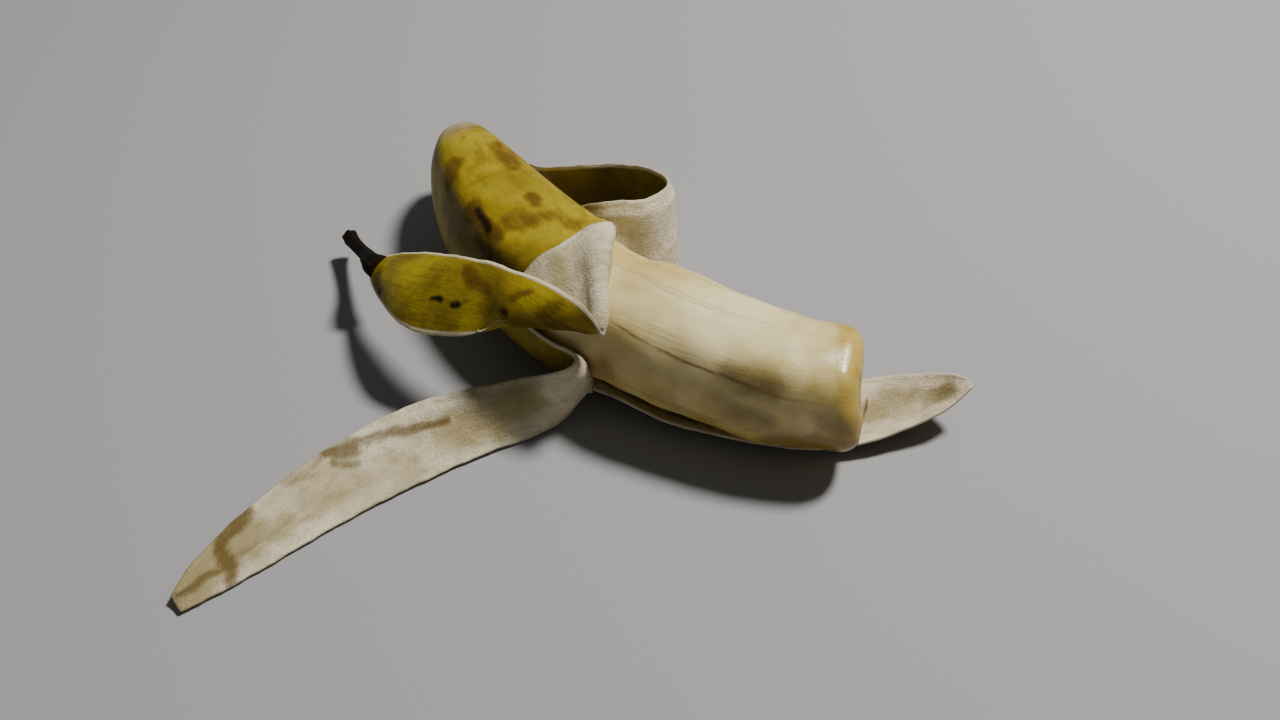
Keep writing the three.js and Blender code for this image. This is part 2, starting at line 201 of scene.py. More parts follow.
class BananaShape(PropertyGroup):
    """Sizes of the peel and the flesh that a user may change."""

    peel_thickness: FloatProperty(
        name="Peel thickness", description="Thickness of the peel away from its torn edges",
        default=2.2 * MM, min=MM, max=3 * MM, unit="LENGTH",
    )
    torn_thickness: FloatProperty(
        name="Torn edge thickness", description="Thickness of the peel at its torn edges",
        default=0.8 * MM, min=0.3 * MM, max=2 * MM, unit="LENGTH",
    )
    torn_waver: FloatProperty(
        name="Torn edge waver", description="How far a torn edge strays from a smooth line",
        default=0.28 * MM, min=0, max=MM, unit="LENGTH",
    )
    ridge_height: FloatProperty(
        name="Ridge height", description="Height of the lengthwise ridges, as a part of the radius",
        default=0.036, min=0, max=0.08,
    )
    bite_depth: FloatProperty(
        name="Bite depth", description="How far the bite dips in the middle",
        default=2.2 * MM, min=0, max=5 * MM, unit="LENGTH",
    )


class BananaColours(PropertyGroup):
    """Colours of the skin, the inside of the peel, the flesh and the stem."""

    skin: colour("Skin", "Ripe skin", 166, 146, 34)
    # Also the colour of the painted shade on the skin.
    skin_olive: colour("Skin, olive", "Duller, greener skin", 104, 88, 16)
    skin_brown: colour("Skin, brown", "Overripe patches of the skin", 86, 56, 8)
    skin_dark: colour("Skin, dark", "Small dark spots", 28, 19, 6)
    skin_tip: colour("Skin, tip", "Greyish skin at the blossom end", 160, 144, 116)
    inner: colour("Inside", "Pale inside of the peel", 236, 224, 194)
    # Also the colour of the painted shade on the inside of the peel.
    inner_grey: colour("Inside, dull", "Duller inside of the peel", 152, 136, 88)
    inner_brown: colour("Inside, brown", "Bruises on the inside of the peel", 92, 70, 10)
    flesh: colour("Flesh", "Fresh flesh", 240, 227, 172)
    # Also the colour of the painted shade on the flesh's lower side.
    flesh_gold: colour("Flesh, golden", "Riper flesh", 184, 156, 66)
    flesh_brown: colour("Flesh, brown", "Bruised flesh", 116, 88, 20)
    stem: colour("Stem", "Dry, dark stem", 10, 9, 6)
    stem_brown: colour("Stem, brown", "Worn edges of the stem", 44, 30, 14)


class BananaStage(PropertyGroup):
    """The floor, the light and the camera."""

    floor: colour("Floor", "Plain pale floor", 156, 155, 156)
    key_power: FloatProperty(
        name="Key light", description="Power of the main light", default=18, min=0, max=500, unit="POWER",
    )
    fill_strength: FloatProperty(
        name="Fill", description="Brightness of the surroundings", default=0.11, min=0, max=5,
    )
    camera_distance: FloatProperty(
        name="Camera distance", description="From the camera to the point it looks at",
        default=0.338, min=0.1, max=2, unit="LENGTH",
    )
    camera_elevation: FloatProperty(
        name="Camera elevation", description="How steeply the camera looks down",
        default=math.radians(43), min=0, max=math.pi / 2, subtype="ANGLE",
    )


# ---- Curves and surfaces ----


def smooth_through(points, places):
    """A smooth curve through the points, at places counted in steps between them.

    Uniform Catmull-Rom, from b to c: 0.5 (2b + (c - a) f + (2a - 5b + 4c - d) f^2 + (3b - a - 3c + d) f^3).
    """
    points = np.asarray(points, float)
    ends = np.concatenate([[2 * points[0] - points[1]], points, [2 * points[-1] - points[-2]]])
    step = np.minimum(np.asarray(places).astype(int), len(points) - 2)
    f = (places - step).reshape((-1,) + (1,) * (points.ndim - 1))
    a, b, c, d = (ends[step + k] for k in range(4))
    return 0.5 * (2 * b + (c - a) * f + (2 * a - 5 * b + 4 * c - d) * f**2 + (3 * b - a - 3 * c + d) * f**3)


def unit(vectors):
    """Each vector divided by its length."""
    return vectors / np.maximum(np.linalg.norm(vectors, axis=-1, keepdims=True), 1e-12)


AXIS_SAMPLES = smooth_through(AXIS, np.linspace(0, len(AXIS) - 1, 2001))
AXIS_DISTANCE = np.concatenate([[0], np.cumsum(np.linalg.norm(np.diff(AXIS_SAMPLES, axis=0), axis=1))])
AXIS_LENGTH = AXIS_DISTANCE[-1]


def axis_point(s):
    """The point s along the fruit's axis. Past its ends the axis runs on straight."""
    inside = np.clip(s, 0, AXIS_LENGTH)
    flat = [np.interp(inside, AXIS_DISTANCE, AXIS_SAMPLES[:, k]) for k in range(2)]
    over = (s - inside)[..., None] * axis_direction(inside)
    return np.stack([*flat, np.full_like(inside, AXIS_HEIGHT)], -1) + over


def axis_direction(s):
    """The axis's direction s along it, from two points a little apart."""
    low, high = np.maximum(s - 0.5, 0), np.minimum(s + 0.5, AXIS_LENGTH)
    run = [
        np.interp(high, AXIS_DISTANCE, AXIS_SAMPLES[:, k]) - np.interp(low, AXIS_DISTANCE, AXIS_SAMPLES[:, k])
        for k in range(2)
    ]
    return unit(np.stack([*run, np.zeros_like(run[0])], -1))


def around(s, deg, r):
    """axis(s) + r (cos(deg) up + sin(deg) (direction x up)): deg 0 is the top, 90 the near side."""
    s, deg, r = np.broadcast_arrays(np.asarray(s, float), np.asarray(deg, float), np.asarray(r, float))
    turn = np.radians(deg)[..., None]
    side = np.cross(axis_direction(s), UP)
    return axis_point(s) + r[..., None] * (np.cos(turn) * UP + np.sin(turn) * side)


def body_radius(s, full):
    """full (1 - (1 - s / taper)^2)^power: a blunt tip that widens to the full radius."""
    left = np.clip(1 - np.asarray(s, float) / TAPER_LENGTH, 0, 1)
    return full * (1 - left**2) ** TAPER_POWER


def ridged(deg, height):
    """1 + height (2 w^2 - 0.75), w = (1 + cos(5 (deg - angle))) / 2: five soft ridges, as a factor."""
    w = 0.5 + 0.5 * np.cos(np.radians(RIDGE_COUNT * (deg - RIDGE_ANGLE)))
    return 1 + height * (2 * w**2 - 0.75)


def waver(t, seed):
    """An uneven line between about -1 and 1: four sine waves with steps that never line up."""
    waves = ((1.0, 0.45), (2.3, 0.3), (4.9, 0.17), (9.1, 0.1))
    return sum(size * np.sin(rate * t + seed * (1.7 + rate)) for rate, size in waves)


def lumps(points, size):
    """Soft lumps of about the given size: a sum of six slanted sine waves, from about -1 to 1."""
    slants = np.array([
        (1, 0.3, -0.4), (-0.5, 1, 0.2), (0.3, -0.6, 1), (0.8, 0.9, 0.5), (-0.9, 0.4, 0.8), (0.2, 1.1, -0.9),
    ])
    phases = 2 * math.pi / size * (points @ slants.T) + 1.9 * np.arange(len(slants))
    return np.sin(phases).sum(-1) / 3.2


def smoothstep(low, high, x):
    """0 below low, 1 above high, with 3 t^2 - 2 t^3 between them."""
    t = np.clip((x - low) / (high - low), 0, 1)
    return t * t * (3 - 2 * t)


# ---- Meshes ----


def grid_quads(index, closed=False):
    """The quads between neighbouring entries of a grid of vertex numbers, closed round its columns or not."""
    if closed:
        index = np.concatenate([index, index[:, :1]], axis=1)
    a, b = index[:-1, :-1], index[1:, :-1]
    d, c = index[:-1, 1:], index[1:, 1:]
    return np.stack([a, b, c, d], -1).reshape(-1, 4)


def clean(quads):
    """Quads with a doubled corner turned so that the doubled corners come first or last."""
    for _ in range(3):
        doubled = (quads[:, 1] == quads[:, 2]) | (quads[:, 2] == quads[:, 3])
        quads = np.where(doubled[:, None], np.roll(quads, 1, axis=1), quads)
    return quads


def corner_normals(points, quads):
    """Each vertex's normal: the sum of its quads' cross products of diagonals."""
    p = points[quads]
    face = np.cross(p[:, 2] - p[:, 0], p[:, 3] - p[:, 1])
    total = np.zeros_like(points)
    for k in range(4):
        np.add.at(total, quads[:, k], face)
    return unit(total)


def border_edges(quads):
    """The edges that only one quad has, as pairs in that quad's turning direction."""
    edges = np.stack([quads, np.roll(quads, -1, axis=1)], -1).reshape(-1, 2)
    edges = edges[edges[:, 0] != edges[:, 1]]
    size = edges.max() + 1
    forward = edges[:, 0] * size + edges[:, 1]
    backward = edges[:, 1] * size + edges[:, 0]
    return edges[~np.isin(forward, backward)]


def make_piece(name, points, quads, uv, attributes, material):
    """A mesh object at the frame's origin, from points and UV places in millimetres and point attributes."""
    first_doubled = quads[:, 0] == quads[:, 1]
    triangle = first_doubled | (quads[:, 0] == quads[:, 3])
    trios = np.where(first_doubled[:, None], quads[:, 1:], quads[:, :3])[triangle]
    fours = quads[~triangle]
    mesh = bpy.data.meshes.new(name)
    mesh.vertices.add(len(points))
    mesh.vertices.foreach_set("co", ((points - BENCH_ORIGIN) * MM).astype(np.float32).ravel())
    corners = np.concatenate([fours.ravel(), trios.ravel()])
    starts = np.concatenate([np.arange(len(fours)) * 4, len(fours) * 4 + np.arange(len(trios)) * 3])
    mesh.loops.add(len(corners))
    mesh.loops.foreach_set("vertex_index", corners.astype(np.int32))
    mesh.polygons.add(len(starts))
    mesh.polygons.foreach_set("loop_start", starts.astype(np.int32))
    mesh.polygons.foreach_set("use_smooth", np.ones(len(starts), bool))
    mesh.update(calc_edges=True)
    layer = mesh.uv_layers.new(name="UVMap")
    layer.data.foreach_set("uv", (uv / UV_SPAN)[corners].astype(np.float32).ravel())
    for key, values in attributes.items():
        mesh.attributes.new(key, "FLOAT", "POINT").data.foreach_set("value", values.astype(np.float32))
    if mesh.validate():
        raise RuntimeError(f"{name} has faces that Blender had to mend")
    mesh.materials.append(material)
    piece = bpy.data.objects.new(name, mesh)
    bpy.context.scene.collection.objects.link(piece)
    return piece


def declare(piece, node):
    """Rides the piece on the one body, in place of its CAD node, which is hidden."""
    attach(piece, "root")
    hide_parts(node)


MARK_BEND = 0.7
MARK_CORE = 0.15  # part of a mark's radius that is fully marked


def stain_and_shade_amount(points, marks):
    """How strongly each point is marked (stains, and marks of painted shade): the largest of strength (1 -
    smoothstep(distance to a segment / radius)).

    The points are first moved a little by lumps, so that the marks are uneven.
    """
    bent = points + MARK_BEND * np.stack([lumps(points + shift, 9.0) for shift in (0, 31, 67)], -1)
    total = np.zeros(len(points))
    for start, end, radius, strength in marks:
        a, b = np.array(start, float), np.array(end, float)
        span = b - a
        t = np.clip((bent - a) @ span / max(span @ span, 1e-9), 0, 1)
        distance = np.linalg.norm(bent - (a + t[:, None] * span), axis=1)
        total = np.maximum(total, strength * (1 - smoothstep(MARK_CORE, 1, distance / radius)))
    return total


# ---- Shader parts ----


class Tree:
    """Adds nodes to one node tree and joins them."""

    def __init__(self, tree):
        self.tree = tree

    def add(self, kind, **settings):
        """A new node of the kind with its settings set."""
        node = self.tree.nodes.new(kind)
        for key, value in settings.items():
            setattr(node, key, value)
        return node

    def put(self, socket, value):
        """A link if the value is a socket, else the socket's own value."""
        if isinstance(value, bpy.types.NodeSocket):
            self.tree.links.new(value, socket)
        elif socket.type == "RGBA":
            socket.default_value = (*value, 1)
        else:
            socket.default_value = value

    def wired(self, node, values, output=0):
        """The node's output once the values are put into its inputs, given by place or by name."""
        for key, value in values.items():
            self.put(node.inputs[key], value)
        return node.outputs[output]

    def math(self, operation, a, b=0.0):
        """One operation on two values."""
        return self.wired(self.add("ShaderNodeMath", operation=operation), {0: a, 1: b})

    def times(self, a, b):
        """a times b."""
        return self.math("MULTIPLY", a, b)

    def plus(self, a, b):
        """a plus b."""
        return self.math("ADD", a, b)

    def less(self, a, b):
        """a less b."""
        return self.math("SUBTRACT", a, b)

    def blend(self, factor, a, b):
        """Value a where the factor is 0, b where it is 1."""
        return self.wired(self.add("ShaderNodeMix", data_type="FLOAT"), {0: factor, 2: a, 3: b})

    def layered(self, under, *layers):
        """Colours laid over one another in turn: each with its mask, or with its mask and a strength."""
        for over, mask, *strength in layers:
            factor = self.times(mask, *strength) if strength else mask
            under = self.wired(self.add("ShaderNodeMix", data_type="RGBA"), {0: factor, 6: under, 7: over}, 2)
        return under

    def step(self, value, low, high, to_low=0.0, to_high=1.0):
        """A smooth step from to_low at low to to_high at high."""
        node = self.add("ShaderNodeMapRange", interpolation_type="SMOOTHSTEP")
        return self.wired(node, dict(enumerate((value, low, high, to_low, to_high))))

    def noise(self, vector, scale, detail, roughness, distortion=0.0):
        """Noise from 0 to 1."""
        values = (vector, scale, detail, roughness, distortion)
        names = ("Vector", "Scale", "Detail", "Roughness", "Distortion")
        return self.wired(self.add("ShaderNodeTexNoise"), dict(zip(names, values)))

    def scaled(self, vector, scale, shift=(0, 0, 0)):
        """The vector times a scale for each direction, then shifted."""
        values = {"Vector": vector, "Scale": scale, "Location": shift}
        return self.wired(self.add("ShaderNodeMapping"), values)

    def attribute(self, name):
        """A value kept on the piece's own points."""
        return self.add("ShaderNodeAttribute", attribute_name=name).outputs["Fac"]

    def places(self):
        """Where a point is in the frame, and its place along and round the piece in millimetres."""
        place = self.add("ShaderNodeTexCoord").outputs["Object"]
        unrolled = self.add("ShaderNodeUVMap", uv_map="UVMap").outputs[0]
        return place, self.scaled(unrolled, (UV_SPAN, UV_SPAN, 1))

    def group(self, maker, **inputs):
        """A shared node group with its inputs set by name."""
        values = {key.capitalize(): value for key, value in inputs.items()}
        return self.wired(self.add("ShaderNodeGroup", node_tree=maker()), values)


def new_group(name, output, **inputs):
    """An empty shader node group: its tree, its output socket, then its input sockets.

    An input without a default is a vector.
    """
    tree = bpy.data.node_groups.new(name, "ShaderNodeTree")
    for label, default in inputs.items():
        kind = "NodeSocketVector" if default is None else "NodeSocketFloat"
        socket = tree.interface.new_socket(label, in_out="INPUT", socket_type=kind)
        if default is not None:
            socket.default_value = default
    tree.interface.new_socket(output, in_out="OUTPUT", socket_type="NodeSocketFloat")
    build = Tree(tree)
    given = list(build.add("NodeGroupInput").outputs)[:len(inputs)]
    return build, build.add("NodeGroupOutput").inputs[0], *given


@cache
def patches_group():
    """Soft uneven patches: noise stepped smoothly between two levels."""
    build, out, vector, scale, low, high = new_group(
        "Patches", "Mask", Vector=None, Scale=50.0, Low=0.4, High=0.6,
    )
    build.put(out, build.step(build.noise(vector, scale, 4.0, 0.6, 0.4), low, high))
    return build.tree


@cache
def fibres_group():
    """Fibres along the first direction of the vector: noise drawn out lengthwise, fine over coarse."""
    build, out, vector, fineness = new_group("Fibres", "Height", Vector=None, Fineness=1.0)
    coarse = build.noise(build.scaled(vector, (0.06, 0.9, 1)), fineness, 3.0, 0.6, 0.1)
    finer = build.times(fineness, 3.1)
    fine = build.noise(build.scaled(vector, (0.1, 1.0, 1), (7, 3, 0)), finer, 3.0, 0.65, 0.1)
    build.put(out, build.blend(0.45, coarse, fine))
    return build.tree


@cache
def speckles_group():
    """Small round specks of uneven size, only where a broad noise allows them."""
    build, out, vector, scale, size, amount = new_group(
        "Speckles", "Mask", Vector=None, Scale=200.0, Size=0.2, Amount=0.5,
    )
    distance = build.wired(build.add("ShaderNodeTexVoronoi"), {"Vector": vector, "Scale": scale}, "Distance")
    chance = build.noise(vector, build.times(scale, 0.31), 1.0, 0.5)
    allowed = build.step(chance, build.less(1.0, amount), 1.0)
    radius = build.times(allowed, size)
    inside = build.step(distance, build.times(radius, 0.3), build.plus(radius, 0.001), 1.0, 0.0)
    build.put(out, build.times(inside, build.step(allowed, 0.0, 0.3)))
    return build.tree


@cache
def blemish_and_shade_group():
    """A soft amount broken up by noise, so that its edge frays: used for stains and for painted shade."""
    build, out, vector, amount, scale, fray = new_group(
        "BlemishAndShade", "Mask", Vector=None, Amount=0.0, Scale=400.0, Fray=0.5,
    )
    field = build.less(build.noise(vector, scale, 5.0, 0.65, 0.3), 0.5)
    shown = build.step(build.plus(amount, build.times(field, fray)), 0.08, 1.0)
    build.put(out, build.times(shown, build.step(amount, 0.0, 0.2)))
    return build.tree


@cache
def seam_group():
    """A thin line along the flesh, where round is near centre, swaying and broken by noise."""
    build, out, vector, along, turned, centre, slope, width, start, end = new_group(
        "Seam", "Mask", Vector=None, Along=0.0, Round=0.0, Centre=0.0, Slope=0.0, Width=1.0, Start=0.0,
        End=100.0,
    )
    sway = build.times(build.less(build.noise(vector, 55.0, 3.0, 0.6), 0.5), 3.0)
    drift = build.times(build.less(along, start), slope)
    off = build.less(build.plus(turned, sway), build.plus(centre, drift))
    line = build.step(build.math("ABSOLUTE", off), 0.0, width, 1.0, 0.0)
    starts = build.step(along, build.less(start, 6.0), build.plus(start, 6.0))
    ends = build.step(along, build.less(end, 8.0), build.plus(end, 8.0), 1.0, 0.0)
    broken = build.step(build.noise(vector, 210.0, 2.0, 0.5), 0.25, 0.6)
    build.put(out, build.times(build.times(build.times(line, starts), ends), broken))
    return build.tree


def new_material(name, **constants):
    """A material, its tree and its one Principled shader, whose named sockets hold constants."""
    material = bpy.data.materials.new(name)
    material.use_nodes = True
    material.node_tree.nodes.clear()
    build = Tree(material.node_tree)
    shader = build.add("ShaderNodeBsdfPrincipled")
    build.put(build.add("ShaderNodeOutputMaterial").inputs["Surface"], shader.outputs[0])
    for key, value in constants.items():
        shader.inputs[key.replace("_", " ")].default_value = value
    return material, build, shader


def finish_shader(build, shader, tint, roughness, height, depth):
    """The colour, roughness and bump that vary over the surface, put into the shader."""
    bump = build.wired(build.add("ShaderNodeBump"), {"Strength": 1.0, "Distance": depth, "Height": height})
    build.wired(shader, {"Base Color": tint, "Roughness": roughness, "Normal": bump})


# ---- Flesh ----

FLESH_ROWS = 190
FLESH_CROWDING = 1.25  # rows lie closer together towards the tip
FLESH_COLUMNS = 144
CORNER_ROWS = 14
FACE_ROWS = 22
TIP_BULGE = 0.4
BITE_BACK = 0.6  # how far short of its end the flesh is bitten off
BITE_SLANT = 2.5  # how much further it reaches on the near lower side
LOW_SIDE = 118.0  # the middle of that side, in degrees round from the top
BITE_WAVE = 0.25
TOOTH_WIDTH = 6.5
# Where the flesh swells beyond the fold of peel and draws in beside the strip below it: how far, degrees
# round from the top, spread in degrees, and where along it that starts, is full, starts to fade and is gone.
SWELLS = [
    (1.6, -43.0, 42.0, 94.0, 102.0, 108.0, 136.0),
    (-1.5, 135.0, 32.0, 88.0, 100.0, 118.0, 138.0),
]
DENTS = ((0.3, 23.0), (0.12, 9.0))  # depth and size

# Bruises: from, to, radius, strength.
FLESH_BRUISES = [
    ((34, -30, 20), (44, -33, 18), 6.5, 0.8),
    ((38, -28, 28), (46, -29, 27), 7.0, 0.75),
    ((48, -34, 12), (64, -35, 12), 8.0, 0.95),
    ((58, -34, 20), (66, -33, 18), 6.0, 0.7),
    ((20, -22, 17), (32, -28, 13), 6.5, 0.5),
    ((-2, -8, 14), (9, -14, 18), 7.0, 0.7),
    ((66, -27, 31), (66, -30, 14), 4.0, 0.75),
    ((58, -10, 34), (65, -16, 33), 5.0, 0.5),
    ((30, -8, 5), (50, -14, 4), 7.0, 0.5),
    ((56, -5, 22), (63, -8, 14), 6.0, 0.5),
]
# Seams along the flesh: degrees round it at the start, more of them for each mm, half width in mm,
# start and end along it, strength.
FLESH_SEAMS = [
    (46.0, 0.38, 0.75, 99.0, 139.0, 0.8),
    (1.0, 0.05, 0.7, 96.0, 126.0, 0.3),
    (-28.0, 0.0, 0.7, 96.0, 150.0, 0.3),
    (100.0, 0.1, 0.8, 104.0, 150.0, 0.3),
    (-85.0, 0.1, 0.9, 80.0, 145.0, 0.6),
    (190.0, 0.0, 1.0, 80.0, 145.0, 0.4),
]
MM_PER_DEGREE = math.radians(1) * (SKIN_RADIUS - 2.5)


def flesh_radius(s, inset):
    """The cup's radius less the inset, narrower by taper ((s - start) / rest)^2 towards the bite."""
    bite = np.clip((s - BITE_TAPER_START) / (FLESH_END - BITE_TAPER_START), 0, 1)
    return body_radius(s - inset, SKIN_RADIUS - inset) - BITE_TAPER * bite**2


def flesh_surface(shape):
    """The flesh as one grid of rows round it, from its tip over the bite's corner to the bite's middle.

    The bitten end lies at end - back + slant ((1 + cos(deg - low side)) / 2)^2 + wave cos(3 deg). The sides
    run up to it, the corner is a quarter circle, and on the face the radius shrinks to nothing while the rows
    draw back by depth (1 - (r / edge)^2) plus the grooves of the teeth. Swellings, soft lobes round the flesh
    and dents then move it outwards or inwards.
    """
    inset = shape.peel_thickness / MM + GAP
    deg = np.linspace(0, 360, FLESH_COLUMNS, endpoint=False)
    low_side = (0.5 + 0.5 * np.cos(np.radians(deg - LOW_SIDE))) ** 2
    bitten_end = FLESH_END - BITE_BACK + BITE_SLANT * low_side + BITE_WAVE * np.cos(np.radians(3 * deg))
    t = np.linspace(0, 1, FLESH_ROWS)[:, None]
    side_s = FLESH_START + (bitten_end - BITE_ROUNDING - FLESH_START) * t**FLESH_CROWDING
    corner = np.radians(np.linspace(0, 90, CORNER_ROWS + 1))[1:, None]
    corner_s = bitten_end - BITE_ROUNDING * (1 - np.sin(corner))
    face = np.linspace(1, 0, FACE_ROWS + 1)[1:, None]
    middle = bitten_end.mean()
    s = np.concatenate([side_s, corner_s, middle + (bitten_end - middle) * face])
    r = flesh_radius(s, inset)
    r[FLESH_ROWS:FLESH_ROWS + CORNER_ROWS] -= BITE_ROUNDING * (1 - np.cos(corner))
    r[-FACE_ROWS:] = (flesh_radius(bitten_end, inset) - BITE_ROUNDING) * face
    across = r[-FACE_ROWS:] * np.sin(np.radians(deg))
    height = r[-FACE_ROWS:] * np.cos(np.radians(deg))
    teeth = 0.3 * np.cos(across * 2 * math.pi / TOOTH_WIDTH + 0.012 * height**2)
    teeth += 0.2 * np.sin(height * 0.9 + 0.2 * across)
    s[-FACE_ROWS:] -= shape.bite_depth / MM * (1 - face**2) + teeth * smoothstep(1.0, 0.7, face)
    deg = deg + 0 * s
    swell = 0
    for amount, angle, spread, start, full, fading, gone in SWELLS:
        away = (deg - angle + 180) % 360 - 180
        stretch = smoothstep(start, full, s) * smoothstep(gone, fading, s)
        swell = swell + amount * np.exp(-(away / spread) ** 2) * stretch
    r = r + swell * smoothstep(0, 6, r)
    lobes = ridged(deg, 0.5 * shape.ridge_height) * (1 + 0.006 * np.cos(np.radians(3 * deg - 40)))
    points = around(s, deg, r * lobes)
    dents = sum(depth * lumps(points, size) for depth, size in DENTS)
    dents = dents * smoothstep(60, 85, s) * smoothstep(0, 6, r)
    return points + unit(points - axis_point(s)) * dents[..., None], s, deg, r


def build_flesh(shape, material):
    """The flesh as a closed mesh: a grid closed round, with a single point at each end."""
    points, s, deg, r = flesh_surface(shape)
    rows, columns = s.shape
    count = (rows - 1) * columns
    tip = around([FLESH_START - TIP_BULGE], [0.0], [0.0])
    everything = np.concatenate([points[:-1].reshape(-1, 3), tip, points[-1].mean(0, keepdims=True)])
    index = np.arange(count).reshape(rows - 1, columns)
    index = np.concatenate([np.full((1, columns), count), index, np.full((1, columns), count + 1)])
    quads = grid_quads(index, closed=True)[:, ::-1]
    along = np.concatenate([s[:-1].ravel(), [FLESH_START, s[-1].mean()]])
    turned = np.concatenate([deg[:-1].ravel(), [0, 0]])
    on_face = np.arange(rows)[:, None] >= FLESH_ROWS + CORNER_ROWS
    attributes = {
        "bruise": stain_and_shade_amount(everything, FLESH_BRUISES),
        "along": along,
        "round": (turned + 180) % 360 - 180,
        "core": np.concatenate([np.where(on_face, r, FAR_AWAY)[:-1].ravel(), [FAR_AWAY, 0.0]]),
    }
    uv = np.stack([along, turned * MM_PER_DEGREE], -1)
    return make_piece("banana_flesh", everything, clean(quads), uv, attributes, material)


def flesh_material(colours):
    """Moist cream flesh: fibres along it, golden patches, golden painted shade below, brown seams and
    bruises, a wetter bitten end.
    """
    material, build, shader = new_material(
        "banana flesh", Subsurface_Weight=0.18, Subsurface_Radius=(1.0, 0.7, 0.35), Subsurface_Scale=0.0035,
        Specular_IOR_Level=0.5,
    )
    place, lengthwise = build.places()
    along, turned, core = (build.attribute(name) for name in ("along", "round", "core"))
    gold, brown = colours.flesh_gold, colours.flesh_brown
    broad = build.group(patches_group, vector=place, scale=38.0, low=0.36, high=0.72)
    small = build.group(patches_group, vector=place, scale=120.0, low=0.4, high=0.75)
    fibres = build.group(fibres_group, vector=lengthwise, fineness=1.1)
    # Painted shade: the flesh turns golden on its lower near side, 25 to 125 degrees round from the top;
    # beside the fold it is golden too.
    below = build.step(turned, 25.0, 125.0)
    beside_fold = build.step(along, 96.0, 122.0, 0.9, 0.0)
    low_shade_and_fold_gold = build.times(build.math("MAXIMUM", below, beside_fold), build.blend(broad, 0.35, 0.95))
    across = build.times(turned, MM_PER_DEGREE)
    seams = []
    for centre, slope, width, start, end, strength in FLESH_SEAMS:
        line = build.group(
            seam_group, vector=place, along=along, round=across, centre=centre * MM_PER_DEGREE,
            slope=slope * MM_PER_DEGREE, width=width, start=start, end=end,
        )
        seams.append((brown, line, strength))
    near_bite = build.step(build.plus(along, build.times(small, 5.0)), 141.0, 153.0)
    bruise = build.group(blemish_and_shade_group, vector=place, amount=build.attribute("bruise"), scale=110.0, fray=1.2)
    heart = build.step(core, 3.2, 6.0, 0.5, 0.0)
    seeds = build.group(speckles_group, vector=place, scale=420.0, size=0.42, amount=0.9)
    seeds = build.times(seeds, build.step(core, 2.0, 4.2, 0.8, 0.0))
    tint = build.layered(
        colours.flesh, (gold, broad, 0.55), (gold, small, 0.25),
        (gold, build.step(fibres, 0.5, 0.78, 0.0, 0.2)), (gold, low_shade_and_fold_gold), *seams, (gold, near_bite, 0.95),
        (brown, bruise, 0.75), (colours.flesh, heart), (brown, seeds),
    )
    wet = build.step(along, 112.0, 146.0)
    sheen = build.blend(wet, build.blend(fibres, 0.42, 0.62), build.blend(small, 0.22, 0.34))
    grain = build.noise(place, 900.0, 3.0, 0.6)
    height = build.plus(build.times(fibres, build.blend(wet, 1.0, 0.45)), build.times(grain, 0.22))
    finish_shader(build, shader, tint, sheen, height, 0.0002)
    return material


# ---- Peel ----

# Each strip: columns across it, steps along it, seed of its torn edges, the two tears it starts between,
# its rows still on the fruit and its free rows.
Strip = namedtuple("Strip", "columns steps seed start end natural free")
STRIPS = [
    Strip(60, 128, 1, FAR_TOP, NEAR_TOP, TOP_NATURAL, TOP_ROWS),
    Strip(26, 132, 4, NEAR_TOP, NEAR_BELLY, NEAR_NATURAL, NEAR_ROWS),
    Strip(34, 92, 7, NEAR_BELLY, FAR_BELLY, BELLY_NATURAL, BELLY_ROWS),
    Strip(34, 116, 9, FAR_BELLY, FAR_TOP_ROUND, [], FAR_ROWS),
]
ROW_FINENESS = 20  # rows filled in for each step between guiding rows
TOP_FINENESS = 24  # the same for the top strip
CREASE_FINENESS = 4  # points for each column while the crease is rounded
RELAX_PASSES = 5
RELAX_ROWS = (2, 16)  # rows from the tear over which the relaxing sets in
WAVER_RATES = (0.2, 0.23)  # for each of a strip's two edges, in radians to a row
WAVER_ROWS = 8  # rows from the tear over which the wavering sets in
FREE_SPAN = (90.0, 110.0)  # stretch of the fruit over which the peel comes free and gets thinner
CUP_STEPS = 84
CUP_CROWDING = 1.3  # the cup's rows lie closer together towards the tip
TORN_BAND = 3.5  # stretch beside a torn edge over which the peel thins
CREASE_ROUNDING = 0.045  # part of the top strip's width over which its crease is rounded
FREE_THINNING = 0.22  # part of its thickness that the peel has lost where it hangs free
RIM_BULGE = 0.35  # how far the torn edges' wall is rounded, as a part of the thickness
WAVER_REACH = 0.2  # part of a strip's width that its wavering edge moves
INNER_LIFT = 0.3  # least height of the inner side above the floor

# Marks: from, to, radius, strength. Skin side first.
SKIN_BROWN = [
    ((-30.4, 50, 30.5), (-30.8, 43, 29.7), 5.0, 0.95),
    ((-20, 57, 31), (-14.5, 44, 33.5), 4.5, 0.8),
    ((-24, 52, 33), (-20, 47, 34), 4.5, 0.5),
    ((-9, 29, 35), (-7.5, 26.5, 35.3), 3.2, 0.95),
    ((-14, 20, 34), (-5, 20, 35.5), 6.0, 0.7),
    ((-2, 22, 36), (2, 16, 36), 5.0, 0.5),
    ((-24, 30, 31), (-17, 17, 32.5), 4.5, 0.9),
    ((-22, 20, 28), (-17, 12, 28), 5.0, 0.75),
    ((-22, 3.5, 32), (-20.5, 0.5, 32), 3.6, 0.95),
    ((-20, 0, 32), (-17.5, -2.8, 31.5), 3.0, 0.85),
    ((-11, -7.5, 33.6), (-8, -7, 34.8), 2.2, 0.85),
    ((-14, -8, 30.5), (-13, -9.3, 29), 3.0, 0.7),
    ((-10, -11, 29), (4, -15, 29), 4.5, 0.8),
    ((-5, -11.5, 31.7), (-1.5, -10.5, 34.2), 3.6, 0.7),
    ((-43, 20, 23), (-38, 19, 26), 6.0, 0.6),
    ((-47.5, 19, 17.5), (-46, 13, 18), 4.5, 0.85),
    ((-36, -1, 21), (-26, -6, 22), 4.0, 0.5),
    ((0, 12, 3), (18, 0, 2), 8.0, 0.6),
    ((14, 50, 8), (22, 46, 14), 7.0, 0.5),
]
